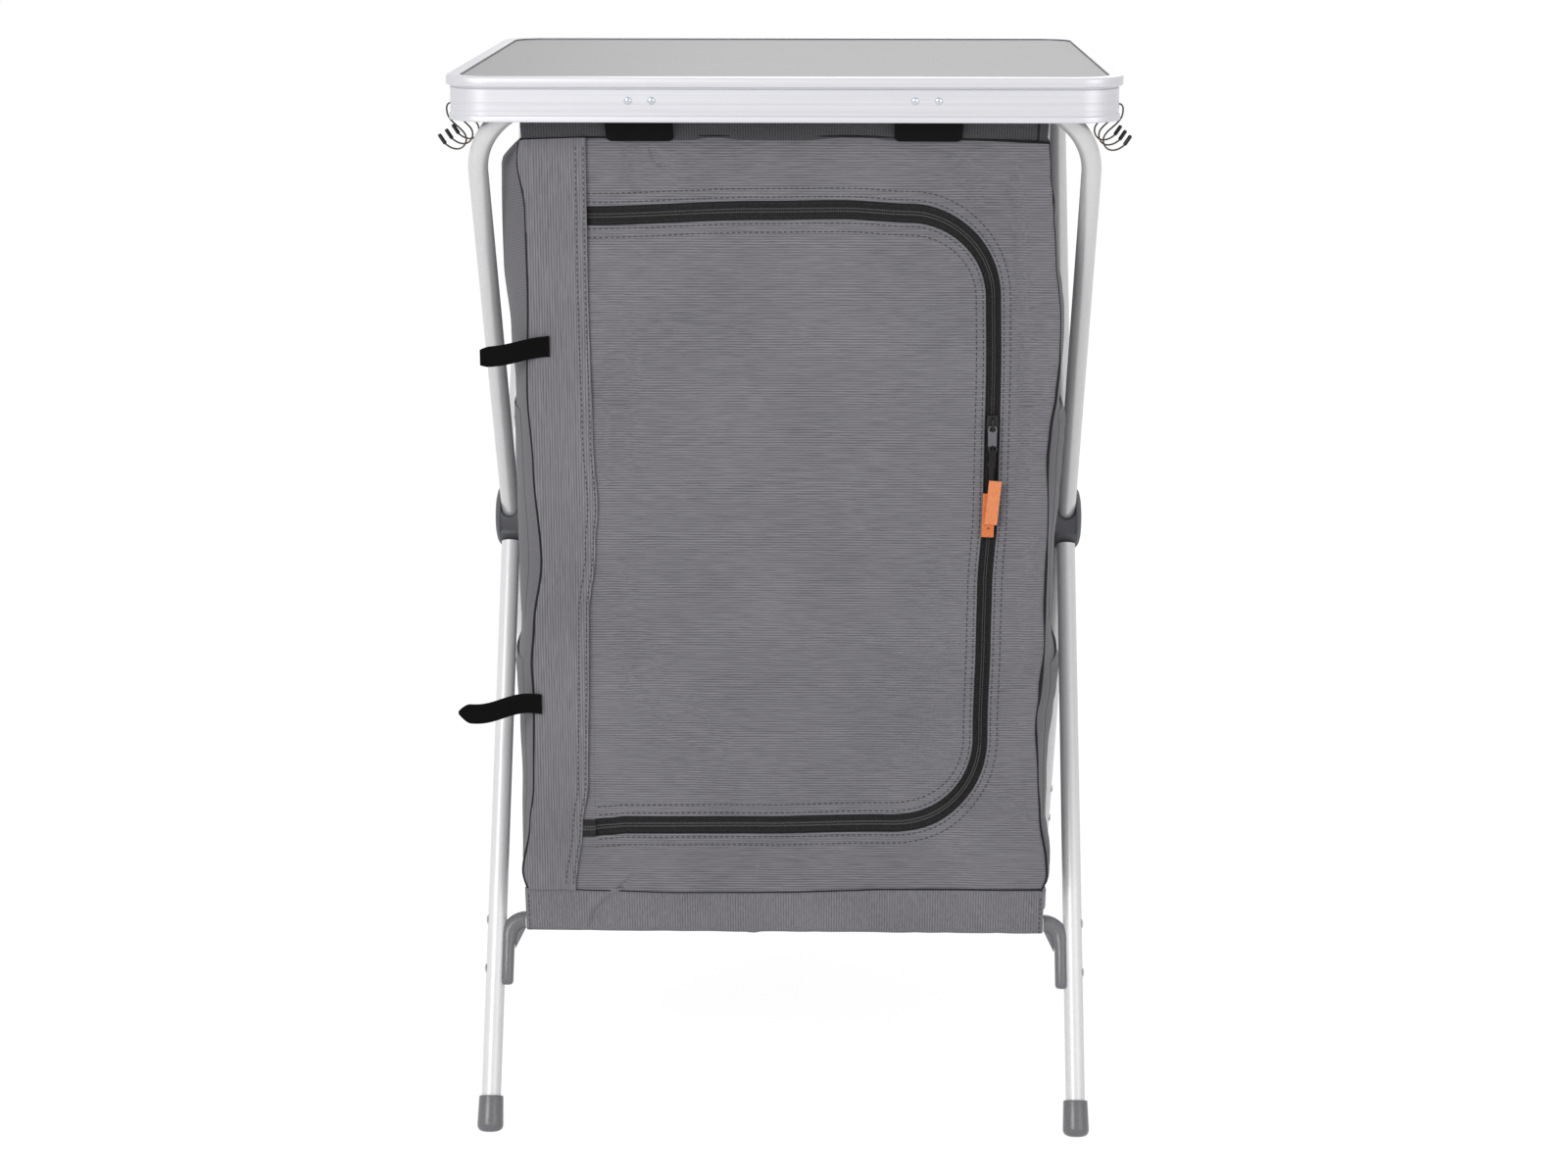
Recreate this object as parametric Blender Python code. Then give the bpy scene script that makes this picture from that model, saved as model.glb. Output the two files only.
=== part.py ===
"""Camping cupboard: a fabric cabinet with three compartments in a folding X-frame of tubes,
with a rigid tabletop clipped on the two top bars.

Metres, +Z up. Origin at the middle of the ground footprint, front towards -Y, +X right.
Each side has two crossing frames. Frame A runs from the front top bar to the rear feet,
frame B from the rear top bar to the front feet, and both turn on the hub pins.
"""
import bpy
import bmesh
from math import acos, atan2, cos, degrees, hypot, pi, radians, sin
from mathutils import Matrix, Vector

# General clearances and fineness
GAP = 0.0003
TUBE_SIDES = 16
CAP_SIDES = 20
HUB_SIDES = 32
BORE_SIDES = 24
RIVET_SIDES = 12
WIRE_SIDES = 6
BEND_STEPS = 6
CORNER_STEPS = 6
ZIP_STEPS = 10
JAW_STEPS = 14
WRAP_STEPS = 14
TIE_STEPS = 6
CORD_BEND_STEPS = 8
SMOOTH_ANGLE = 35

# Tabletop: a laminated panel in an aluminium rim
TOP_W = 0.600
TOP_D = 0.520
TOP_Z = 0.980
TOP_CORNER_R = 0.042
PANEL_T = 0.0045
RIM_H = 0.0395
RIM_WALL = 0.0015
RIM_FLANGE_W = 0.0120
RIM_LIP_H = 0.0105
RIM_FACE_INSET = 0.0035
RIM_FOOT_INSET = 0.0020
RIM_FOOT_H = 0.0060
RIM_GROOVE = 0.0010

# Frame tubes
TUBE_D = 0.018
TUBE_WALL = 0.0012
FRAME_INSET = 0.025
BAR_INSET = 0.0185
BAR_DROP = 0.0205
BEND_R = 0.077
CROSSBAR_D = 0.0165
CROSSBAR_WALL = 0.0010
CROSSBAR_Z = 0.1735

# Hubs where the frames cross
HUB_Z = 0.525
TUBE_OFFSET = 0.0105
HUB_R = 0.030
HUB_DISC_T = 0.0087
HUB_DISC_BEVEL = 0.0030
HUB_PIN_R = 0.0040
HUB_PIN_HEAD_R = 0.0070
HUB_PIN_HEAD_T = 0.0015
HUB_PIN_HEAD_CHAMFER = 0.0018
SOCKET_HALF_W = 0.0090
SOCKET_WALL = 0.0015
LEG_START = 0.030
SPIGOT_L = 0.030
SPIGOT_ROOT = 0.0012

# Feet
FOOT_TOP_R = 0.0112
FOOT_R = 0.0125
FOOT_L = 0.031
FOOT_CROWN = 0.0030
FOOT_ROUND_TOP = 0.0060
FOOT_STRAIGHT_TOP = 0.0110
FOOT_TOP_BEVEL = 0.0005
FOOT_SOLE_T = 0.010

# Brackets between the legs and the lower crossbars
ELBOW_ARM_R = 0.0086
ELBOW_ARM_L = 0.0035
ELBOW_LIMB_W = 0.0150
ELBOW_LIMB_T = 0.0147
ELBOW_LIMB_L = 0.066
ELBOW_GUSSET_L = 0.016
ELBOW_GUSSET_T = 0.0040
ELBOW_CHAMFER = 0.00375
ELBOW_SPIGOT_L = 0.020
LEG_RIVET_R = 0.0020
LEG_RIVET_HEAD_R = 0.0040
LEG_RIVET_HEAD_T = 0.0015
LEG_RIVET_PITCH = 0.046

# Cabinet
FABRIC_T = 0.0015
BOARD_T = 0.0040
POCKET_CLEARANCE = 0.0005
POCKET_DEPTH = 0.0112
POCKET_HALF_D = 0.190
POCKET_H = 0.200
POCKET_SHELF_DROP = 0.010
CABINET_BAR_SETBACK = 0.0265
CABINET_BAR_DROP = 0.0385
CABINET_BOTTOM = 0.213
CABINET_CORNER_W = 0.0095
CABINET_CORNER_H = 0.0120
SHELF_LOWER_Z = 0.440
SHELF_UPPER_Z = 0.680
SKIRT_INSET = 0.0013

# Band and straps that hang the cabinet on the top bars
BAND_END_Z_DROP = 0.0195
BAND_WRAP_ANGLE = 217
SKIRT_WRAP_ANGLE = 230
STRAP_T = 0.0012
STRAP_W = 0.061
STRAP_INSET = 0.1465
STRAP_WRAP_ANGLE = 270
STRAP_WINDOW_DROP = 0.0120

# Clips and guides that hold the tabletop on the bars
CLIP_INSET = 0.1743
CLIP_W = 0.032
CLIP_BACK_ANGLES = (190, 140)
CLIP_JAW_ANGLE = -10
GUIDE_JAW_ANGLE = 90
CLIP_T = 0.0016
CLIP_PLATE_H = 0.0095
CLIP_PLATE_T = 0.0022
GUIDE_FLANGE_L = 0.008
GUIDE_CLEARANCE = 0.0006
RIM_RIVET_PITCH = 0.0205
RIM_RIVET_R = 0.0016
RIM_RIVET_HEAD_R = 0.0031
RIM_RIVET_HEAD_T = 0.0016

# Door and zip on the front
DOOR_HINGE_INSET = 0.067
PLACKET_SETBACK = 0.0030
PLACKET_W = 0.055
ZIP_RIGHT_INSET = 0.058
ZIP_TOP_DROP = 0.066
ZIP_BOTTOM_RISE = 0.062
ZIP_TOP_R = 0.075
ZIP_BOTTOM_R = 0.090
TAPE_W = 0.0095
TAPE_HALF_SPLIT = 0.00015

# Zip slider, pull, cord and tag
SLIDER_Z = 0.6635
SLIDER_W = 0.0110
SLIDER_H = 0.0175
SLIDER_T = 0.0035
BRIDGE_W = 0.0024
BRIDGE_T = 0.0012
BRIDGE_REACH = 0.0042
BRIDGE_H = 0.0110
PULL_BAR_R = 0.0008
PULL_W = 0.0110
PULL_L = 0.0215
PULL_WINDOW_W = 0.0050
PULL_WINDOW_H = 0.0085
PULL_HOLE_R = 0.0017
PULL_HOLE_EDGE = 0.0009
CORD_R = 0.0007
CORD_L = 0.0290
CORD_HALF_W = 0.0032
TAG_W = 0.0130
TAG_L = 0.0550
TAG_T = 0.0036
LOOP_RISE = 0.3

# Straps that tie the rolled door
TIE_H = 0.0180
TIE_WAVE = 0.0025
TIE_UPPER_Z = 0.729
TIE_UPPER_INSET = 0.032
TIE_UPPER_L = 0.063
TIE_LOWER_Z = 0.391
TIE_LOWER_INSET = 0.018
TIE_LOWER_L = 0.077

# Utensil hooks under the side rims
HOOK_WIRE_R = 0.0008
HOOK_TIP_R = 0.0016
HOOK_HOLE_R = 0.0013
HOOK_DROP = 0.0263
HOOK_SETBACK = 0.050
HOOK_PITCH = 0.045
HOOKS_PER_SIDE = 3
# Bends of a hook's wire and of its dipped tip, inward and up from the hole
HOOK_WIRE_BENDS = (
    (0.0050, -0.0060), (0.0048, -0.0020), (0.0030, -0.0003), (0, 0), (-0.0034, -0.0003),
    (-0.0052, -0.0022), (-0.0058, -0.0055), (-0.0052, -0.0100), (-0.0036, -0.0138),
    (0.0010, -0.0190), (0.0070, -0.0240), (0.0110, -0.0290), (0.0114, -0.0345),
    (0.0088, -0.0395), (0.0040, -0.0418), (-0.0020, -0.0408), (-0.0070, -0.0375),
)
HOOK_TIP_BENDS = ((-0.0076, -0.0370), (-0.0090, -0.0355), (-0.0128, -0.0290), (-0.0136, -0.0275))
HOOK_TIP_TAPER = (0.9, 1, 1, 0.6)

# Sizes that follow from the driving dimensions
TUBE_R = TUBE_D / 2
TUBE_BORE_R = TUBE_R - TUBE_WALL
CROSSBAR_R = CROSSBAR_D / 2
CROSSBAR_BORE_R = CROSSBAR_R - CROSSBAR_WALL
FRAME_X = TOP_W / 2 - FRAME_INSET
BAR_Y = TOP_D / 2 - BAR_INSET
BAR_Z = TOP_Z - BAR_DROP
BAR_RISE = BAR_Z - HUB_Z
LEAN = acos(TUBE_OFFSET / hypot(BAR_Y, BAR_RISE)) - atan2(BAR_RISE, BAR_Y)
SIN = sin(LEAN)
COS = cos(LEAN)
BAR_ALONG = (BAR_RISE + TUBE_OFFSET * SIN) / COS
GROUND_ALONG = (HUB_Z + TUBE_OFFSET * SIN) / COS
CROSSBAR_ALONG = (HUB_Z + TUBE_OFFSET * SIN - CROSSBAR_Z) / COS
CROSSBAR_Y = TUBE_OFFSET * COS + CROSSBAR_ALONG * SIN
DISC_OUTER_X = FRAME_X + TUBE_R + GAP
DISC_INNER_X = FRAME_X - TUBE_R - GAP
SOCKET_OUTER_LATERAL = TUBE_OFFSET + SOCKET_HALF_W
UPPER_START = (GAP / 2 + SOCKET_OUTER_LATERAL * SIN) / COS + SOCKET_WALL
POCKET_X = DISC_INNER_X - HUB_DISC_T - POCKET_CLEARANCE
CABINET_X = POCKET_X - POCKET_DEPTH - GAP
CABINET_Y = BAR_Y - CABINET_BAR_SETBACK
CABINET_TOP = BAR_Z - CABINET_BAR_DROP
BAND_HALF_W = CABINET_X - CABINET_CORNER_W
DOOR_HINGE_X = DOOR_HINGE_INSET - CABINET_X
ZIP_RIGHT_X = CABINET_X - ZIP_RIGHT_INSET
TIE_UPPER_X = TIE_UPPER_INSET - CABINET_X
TIE_LOWER_X = TIE_LOWER_INSET - CABINET_X
STRAP_X = FRAME_X - STRAP_INSET
CLIP_X = TOP_W / 2 - CLIP_INSET
INNER_X = CABINET_X - FABRIC_T - GAP
INNER_Y = CABINET_Y - FABRIC_T - GAP
ARM_INNER_X = DISC_INNER_X - ELBOW_LIMB_T - ELBOW_ARM_L
RIM_INNER_INSET = RIM_FACE_INSET + RIM_WALL
SLOT_TOP_Z = TOP_Z - RIM_WALL
SLOT_BOTTOM_Z = SLOT_TOP_Z - PANEL_T - 2 * GAP
STRAP_BORE_R = TUBE_R + GAP
ZIP_TOP_Z = CABINET_TOP - ZIP_TOP_DROP
ZIP_BOTTOM_Z = CABINET_BOTTOM + ZIP_BOTTOM_RISE
PULL_AXIS_Y = -CABINET_Y - GAP - SLIDER_T - BRIDGE_REACH / 2 + BRIDGE_T / 4
PULL_AXIS_Z = SLIDER_Z - BRIDGE_H / 2 + 3 * BRIDGE_T
PULL_T = 2 * PULL_BAR_R
TAG_AXIS_Z = PULL_AXIS_Z - PULL_L + PULL_HOLE_R + PULL_HOLE_EDGE
HOOK_Z = TOP_Z - HOOK_DROP
HOOK_X = TOP_W / 2 - RIM_FACE_INSET - RIM_WALL / 2
SIDES = (("left", -1), ("right", 1))


def material(name, colour, roughness, metallic=0.0):
    """A Principled material; colour is a linear RGB triple."""
    mat = bpy.data.materials.new(name)
    mat.use_nodes = True
    shader = mat.node_tree.nodes["Principled BSDF"]
    shader.inputs["Base Color"].default_value = (*colour, 1.0)
    shader.inputs["Roughness"].default_value = roughness
    shader.inputs["Metallic"].default_value = metallic
    return mat


def loft(rings, closed=False):
    """Skin equal rings of points; open lofts get end faces, closed ones join up again."""
    bm = bmesh.new()
    verts = [[bm.verts.new(p) for p in ring] for ring in rings]
    count = len(verts[0])
    last = len(verts) if closed else len(verts) - 1
    for i in range(last):
        here = verts[i]
        there = verts[(i + 1) % len(verts)]
        for k in range(count):
            n = (k + 1) % count
            bm.faces.new((here[k], here[n], there[n], there[k]))
    if not closed:
        bm.faces.new(verts[0])
        bm.faces.new(verts[-1])
    bmesh.ops.recalc_face_normals(bm, faces=bm.faces)
    return bm


def prism(outline, axis, lo, hi):
    """Extrude a flat outline along X (outline in y, z), Y (in x, z) or Z (in x, y)."""
    spots = {
        "X": lambda p, q, w: (w, p, q),
        "Y": lambda p, q, w: (p, w, q),
        "Z": lambda p, q, w: (p, q, w),
    }
    return loft([[spots[axis](p, q, w) for p, q in outline] for w in (lo, hi)])


def box(x0, x1, y0, y1, z0, z1):
    return prism([(x0, y0), (x1, y0), (x1, y1), (x0, y1)], "Z", z0, z1)


def arc(centre, radius, start, end, steps):
    """Points on an arc, angles in degrees."""
    angles = [radians(start + (end - start) * k / steps) for k in range(steps + 1)]
    return [(centre[0] + radius * cos(a), centre[1] + radius * sin(a)) for a in angles]


def strip(path, thickness):
    """Outline of a strip of even thickness along a flat path."""
    left = []
    right = []
    for i, (p, q) in enumerate(path):
        before = Vector(path[max(i - 1, 0)])
        after = Vector(path[min(i + 1, len(path) - 1)])
        here = Vector((p, q))
        ways = [w.normalized() for w in (here - before, after - here) if w.length > 0]
        way = sum(ways, Vector((0, 0))).normalized()
        reach = thickness / 2 / way.dot(ways[0])
        normal = Vector((-way.y, way.x)) * reach
        left.append(tuple(here + normal))
        right.append(tuple(here - normal))
    return left + right[::-1]


def sweep(path, plane_normal, radii, sides, bore=None):
    """Round bar along a flat path in space; with a bore it is a tube with open ends."""
    normal = Vector(plane_normal).normalized()
    points = [Vector(p) for p in path]
    if not isinstance(radii, (list, tuple)):
        radii = [radii] * len(points)

    def ring(i, radius):
        before = points[max(i - 1, 0)]
        after = points[min(i + 1, len(points) - 1)]
        ways = [w.normalized() for w in (points[i] - before, after - points[i]) if w.length > 0]
        way = sum(ways, Vector()).normalized()
        side = way.cross(normal) / way.dot(ways[0])
        turns = [2 * pi * (k + 0.5) / sides for k in range(sides)]
        return [points[i] + radius * (cos(a) * normal + sin(a) * side) for a in turns]

    rings = [ring(i, r) for i, r in enumerate(radii)]
    if bore is None:
        return loft(rings)
    inner = [ring(i, bore) for i in range(len(points))]
    return loft(rings + inner[::-1], closed=True)


def lathe(profile, origin, axis, sides):
    """Turn (radius, height) points round an axis; a radius of 0 closes the shape there."""
    up = Vector(axis).normalized()
    side = up.orthogonal().normalized()
    front = up.cross(side)
    bm = bmesh.new()
    rows = []
    for radius, height in profile:
        middle = Vector(origin) + up * height
        if radius == 0:
            rows.append([bm.verts.new(middle)] * sides)
            continue
        turns = [2 * pi * k / sides for k in range(sides)]
        rows.append([bm.verts.new(middle + radius * (cos(a) * side + sin(a) * front)) for a in turns])
    for here, there in zip(rows, rows[1:] + rows[:1]):
        if here[0] is here[1] and there[0] is there[1]:
            continue
        for k in range(sides):
            n = (k + 1) % sides
            corners = [here[k], here[n], there[n], there[k]]
            bm.faces.new(list(dict.fromkeys(corners)))
    bmesh.ops.recalc_face_normals(bm, faces=bm.faces)
    return bm


def cylinder(centre, axis, radius, lo, hi, sides):
    """Cylinder about a line through centre, from lo to hi along the axis."""
    return lathe([(0, lo), (radius, lo), (radius, hi), (0, hi)], centre, axis, sides)


def gather(solids):
    """Put several separate solids into one bmesh."""
    whole = bmesh.new()
    for solid in solids:
        mesh = bpy.data.meshes.new("gather")
        solid.to_mesh(mesh)
        solid.free()
        whole.from_mesh(mesh)
        bpy.data.meshes.remove(mesh)
    return whole


def boolean(solid, tools, operation):
    """Solid after an exact Boolean with each tool in turn."""
    for tool in tools:
        pair = []
        for name, bm in (("boolean_body", solid), ("boolean_tool", tool)):
            mesh = bpy.data.meshes.new(name)
            bm.to_mesh(mesh)
            bm.free()
            obj = bpy.data.objects.new(name, mesh)
            bpy.context.collection.objects.link(obj)
            pair.append(obj)
        modifier = pair[0].modifiers.new(operation, "BOOLEAN")
        modifier.operation = operation
        modifier.solver = "EXACT"
        modifier.object = pair[1]
        graph = bpy.context.evaluated_depsgraph_get()
        result = bpy.data.meshes.new_from_object(pair[0].evaluated_get(graph))
        solid = bmesh.new()
        solid.from_mesh(result)
        bpy.data.meshes.remove(result)
        for obj in pair:
            mesh = obj.data
            bpy.data.objects.remove(obj)
            bpy.data.meshes.remove(mesh)
    bmesh.ops.dissolve_degenerate(solid, dist=1e-6, edges=solid.edges)
    return solid


def place(name, solid, mat, pivot=None, smooth=False):
    """Make the named object from a bmesh in world coordinates and hang it on its pivot."""
    mesh = bpy.data.meshes.new(name)
    solid.to_mesh(mesh)
    solid.free()
    mesh.materials.append(mat)
    if smooth:
        mesh.shade_smooth()
        mesh.set_sharp_from_angle(angle=radians(SMOOTH_ANGLE))
    obj = bpy.data.objects.new(name, mesh)
    bpy.context.collection.objects.link(obj)
    if pivot:
        obj.parent = pivot
        obj.matrix_parent_inverse = Matrix.Translation(-Vector(pivot["world"]))
    return obj


def pivot_empty(name, world, parent=None):
    """Empty on a joint's axis; what moves with the joint is parented to it."""
    empty = bpy.data.objects.new(name, None)
    empty.empty_display_size = 0.03
    bpy.context.collection.objects.link(empty)
    empty["world"] = list(world)
    empty.location = world
    if parent:
        empty.parent = parent
        empty.matrix_parent_inverse = Matrix.Translation(-Vector(parent["world"]))
    return empty


def side_point(lean, lateral, along):
    """(y, z) of a point of a frame; lean is -1 for frame A and 1 for frame B."""
    return lean * (lateral * COS + along * SIN), HUB_Z - lateral * SIN + along * COS


def frame_point(lean, x, lateral, along):
    return Vector((x, *side_point(lean, lateral, along)))


def up_frame(lean):
    return Vector((0, lean * SIN, COS))


def upper_frame(lean):
    """U-bent top tube: two side runs and the bar that the cabinet and tabletop rest on."""
    turn = BAR_ALONG - BEND_R
    left = [(-FRAME_X, UPPER_START)]
    left += arc((-FRAME_X + BEND_R, turn), BEND_R, 180, 90, BEND_STEPS)
    route = left + [(-x, t) for x, t in left[::-1]]
    path = [frame_point(lean, x, TUBE_OFFSET, t) for x, t in route]
    return sweep(path, (0, lean * COS, -SIN), TUBE_R, TUBE_SIDES, TUBE_BORE_R)


def leg_rivet_alongs():
    return -CROSSBAR_ALONG, -CROSSBAR_ALONG - LEG_RIVET_PITCH


def leg_holes(lean, side):
    """Drills for the two rivets that cross the leg into the bracket."""
    radius = LEG_RIVET_R + GAP
    middles = [frame_point(lean, side * FRAME_X, -TUBE_OFFSET, t) for t in leg_rivet_alongs()]
    return [cylinder(p, (1, 0, 0), radius, -TUBE_D, TUBE_D, RIVET_SIDES) for p in middles]


def leg(lean, side):
    x = side * FRAME_X
    ends = (-LEG_START, FOOT_SOLE_T - GROUND_ALONG)
    path = [frame_point(lean, x, -TUBE_OFFSET, t) for t in ends]
    tube = sweep(path, (1, 0, 0), TUBE_R, TUBE_SIDES, TUBE_BORE_R)
    return boolean(tube, leg_holes(lean, side), "DIFFERENCE")


def socket_block(lean, way, side, lo, hi):
    """Block that holds a tube's end; its slanted end face stops the frames at full spread."""

    def stop(lateral):
        return (GAP / 2 + lateral * SIN) / COS

    inner = TUBE_OFFSET - SOCKET_HALF_W
    outer = SOCKET_OUTER_LATERAL
    end = UPPER_START if way > 0 else LEG_START
    corners = [(inner, stop(inner)), (outer, stop(outer)), (outer, end), (inner, end)]
    outline = [side_point(lean, way * p, way * q) for p, q in corners]
    return prism(outline, "X", side * lo, side * hi)


def spigot(lean, way, side):
    """Peg of the hub inside the tube."""
    start = UPPER_START if way > 0 else LEG_START
    base = frame_point(lean, side * FRAME_X, way * TUBE_OFFSET, way * (start - SPIGOT_ROOT))
    return cylinder(base, up_frame(lean) * way, TUBE_BORE_R - GAP, 0, SPIGOT_L, TUBE_SIDES)


def hub(lean, side):
    """Disc with two socket blocks and spigots; frame A has the outer disc, frame B the inner."""
    direction = (side if lean < 0 else -side, 0, 0)
    base = DISC_OUTER_X if lean < 0 else DISC_INNER_X
    chamfer = HUB_DISC_BEVEL
    profile = [(0, 0), (HUB_R, 0), (HUB_R, HUB_DISC_T - chamfer), (HUB_R - chamfer, HUB_DISC_T)]
    profile.append((0, HUB_DISC_T))
    disc = lathe(profile, (side * base, 0, HUB_Z), direction, HUB_SIDES)
    overlap = HUB_DISC_T / 4
    if lean < 0:
        lo, hi = DISC_INNER_X + GAP, DISC_OUTER_X + overlap
    else:
        lo, hi = DISC_INNER_X - overlap, DISC_OUTER_X - GAP
    parts = [socket_block(lean, way, side, lo, hi) for way in (1, -1)]
    parts += [spigot(lean, way, side) for way in (1, -1)]
    body = boolean(disc, parts, "UNION")
    reach = 2 * TUBE_D
    bore = cylinder((side * FRAME_X, 0, HUB_Z), (side, 0, 0), HUB_PIN_R + GAP, -reach, reach, BORE_SIDES)
    return boolean(body, [bore], "DIFFERENCE")


def hub_pin(side):
    shank_start = DISC_INNER_X - HUB_DISC_T
    shank_end = DISC_OUTER_X + HUB_DISC_T + GAP
    head_end = shank_end + HUB_PIN_HEAD_T
    head = HUB_PIN_HEAD_R
    profile = [(0, shank_start), (HUB_PIN_R, shank_start), (HUB_PIN_R, shank_end), (head, shank_end),
               (head, head_end - HUB_PIN_HEAD_T / 2), (head - HUB_PIN_HEAD_CHAMFER, head_end), (0, head_end)]
    return lathe(profile, (0, 0, HUB_Z), (side, 0, 0), CAP_SIDES)


def foot(lean, side):
    """Cap on the leg's end, cut flat where it meets the ground."""
    up = up_frame(lean)
    ground = frame_point(lean, side * FRAME_X, -TUBE_OFFSET, -GROUND_ALONG)
    bore = TUBE_R + GAP
    floor = FOOT_SOLE_T - GAP
    dome_h = FOOT_ROUND_TOP + FOOT_CROWN
    profile = [(FOOT_R * sin(a), FOOT_ROUND_TOP - dome_h * cos(a)) for a in (0, pi / 6, pi / 3, pi / 2)]
    profile += [(FOOT_R, FOOT_STRAIGHT_TOP), (FOOT_TOP_R, FOOT_L - 2 * FOOT_TOP_BEVEL),
                (FOOT_TOP_R - FOOT_TOP_BEVEL, FOOT_L), (bore, FOOT_L), (bore, floor), (0, floor)]
    cap = lathe(profile, ground, up, CAP_SIDES)
    reach = 3 * FOOT_R
    below = box(ground.x - reach, ground.x + reach, ground.y - reach, ground.y + reach, -reach, 0)
    return boolean(cap, [below], "DIFFERENCE")


def rivet(base, axis, radius, head_r, head_t, start, seat):
    """Dome rivet from start to its seat along the axis, with its head beyond the seat."""
    profile = [(0, start), (radius, start), (radius, seat)]
    profile += [(head_r * cos(a), seat + head_t * sin(a)) for a in (0, pi / 5, 2 * pi / 5)]
    profile.append((0, seat + head_t))
    return lathe(profile, base, axis, RIVET_SIDES)


def leg_rivets(lean, side):
    """Two rivets from the leg's outer face into the bracket that they hold."""
    start = -TUBE_R - ELBOW_LIMB_T / 2
    return [
        rivet(frame_point(lean, side * FRAME_X, -TUBE_OFFSET, t), (side, 0, 0), LEG_RIVET_R,
              LEG_RIVET_HEAD_R, LEG_RIVET_HEAD_T, start, TUBE_R + GAP)
        for t in leg_rivet_alongs()
    ]


def crossbar(lean):
    """Tube between the two legs of a frame, low down."""
    end = ARM_INNER_X - GAP
    y = -lean * CROSSBAR_Y
    path = [(-end, y, CROSSBAR_Z), (end, y, CROSSBAR_Z)]
    return sweep(path, (0, 0, 1), CROSSBAR_R, TUBE_SIDES, CROSSBAR_BORE_R)


def elbow(lean, side):
    """Moulded bracket with its two rivets: an arm into the crossbar, a limb down the leg, a web."""
    half = ELBOW_LIMB_W / 2
    middle = (-TUBE_OFFSET, -CROSSBAR_ALONG)
    low = middle[1] - ELBOW_LIMB_L
    flat = half - ELBOW_CHAMFER
    sketch = [(middle[0] - half, low + ELBOW_CHAMFER), (middle[0] - flat, low),
              (middle[0] + flat, low), (middle[0] + half, low + ELBOW_CHAMFER)]
    sketch += arc(middle, half, 0, 180, 2 * CORNER_STEPS)
    limb_outer = DISC_INNER_X
    limb_inner = limb_outer - ELBOW_LIMB_T
    limb = prism([side_point(lean, p, q) for p, q in sketch], "X", side * limb_inner, side * limb_outer)
    axis_point = (0, -lean * CROSSBAR_Y, CROSSBAR_Z)
    arm_end = limb_outer - ELBOW_LIMB_T / 4
    arm = cylinder(axis_point, (side, 0, 0), ELBOW_ARM_R, ARM_INNER_X, arm_end, CAP_SIDES)
    peg = cylinder(axis_point, (side, 0, 0), CROSSBAR_BORE_R - GAP, ARM_INNER_X - ELBOW_SPIGOT_L,
                   ARM_INNER_X + ELBOW_ARM_L / 2, TUBE_SIDES)
    web_top = middle[1] - ELBOW_ARM_R / 2
    web_low = middle[1] - ELBOW_ARM_R - ELBOW_GUSSET_L
    corners = [(ARM_INNER_X + GAP, web_top), (limb_inner + GAP, web_top), (limb_inner + GAP, web_low)]
    corners.append((ARM_INNER_X + GAP, middle[1] - ELBOW_ARM_R))
    thick = ELBOW_GUSSET_T / 2
    web = loft([[frame_point(lean, side * x, middle[0] + e, t) for x, t in corners] for e in (-thick, thick)])
    return boolean(limb, [arm, peg, web, *leg_rivets(lean, side)], "UNION")


def rounded_rectangle(inset, z):
    half_w = TOP_W / 2 - inset
    half_d = TOP_D / 2 - inset
    radius = TOP_CORNER_R - inset
    points = []
    for sx, sy, start in ((1, 1, 0), (-1, 1, 90), (-1, -1, 180), (1, -1, 270)):
        middle = (sx * (half_w - radius), sy * (half_d - radius))
        points += arc(middle, radius, start, start + 90, CORNER_STEPS)
    return [(x, y, z) for x, y in points]


def clip_rivet_xs(sx):
    return [sx * CLIP_X + e * RIM_RIVET_PITCH / 2 for e in (-1, 1)]


def tabletop_rim():
    """Aluminium edge profile: flange over the panel, ledge under it, lip, groove and foot."""
    wall = RIM_INNER_INSET
    bottom = TOP_Z - RIM_H
    lip_bottom = TOP_Z - RIM_LIP_H
    foot_top = bottom + RIM_FOOT_H
    groove = RIM_FACE_INSET + RIM_GROOVE
    profile = [
        (0, TOP_Z - RIM_WALL), (RIM_WALL / 2, TOP_Z), (RIM_FLANGE_W, TOP_Z), (RIM_FLANGE_W, SLOT_TOP_Z),
        (wall, SLOT_TOP_Z), (wall, SLOT_BOTTOM_Z), (RIM_FLANGE_W, SLOT_BOTTOM_Z),
        (RIM_FLANGE_W, SLOT_BOTTOM_Z - RIM_WALL), (wall, SLOT_BOTTOM_Z - RIM_WALL), (wall, bottom),
        (RIM_FOOT_INSET + RIM_WALL / 2, bottom), (RIM_FOOT_INSET, bottom + RIM_WALL / 2),
        (RIM_FOOT_INSET, foot_top), (RIM_FACE_INSET, foot_top + RIM_GROOVE),
        (RIM_FACE_INSET, lip_bottom - 2 * RIM_GROOVE), (groove, lip_bottom - RIM_GROOVE),
        (groove, lip_bottom), (0, lip_bottom + RIM_GROOVE),
    ]
    rim = loft([rounded_rectangle(d, z) for d, z in profile], closed=True)
    drills = []
    for _, side in SIDES:
        for x in clip_rivet_xs(side):
            for y in (-TOP_D / 2, TOP_D / 2):
                drills.append(cylinder((x, y, BAR_Z), (0, 1, 0), RIM_RIVET_R + GAP, -RIM_FLANGE_W,
                                       RIM_FLANGE_W, RIVET_SIDES))
        for y in hook_places():
            drills.append(cylinder((side * HOOK_X, y, HOOK_Z), (1, 0, 0), HOOK_HOLE_R, -2 * RIM_WALL,
                                   2 * RIM_WALL, RIVET_SIDES))
    return boolean(rim, [gather(drills)], "DIFFERENCE")


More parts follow.
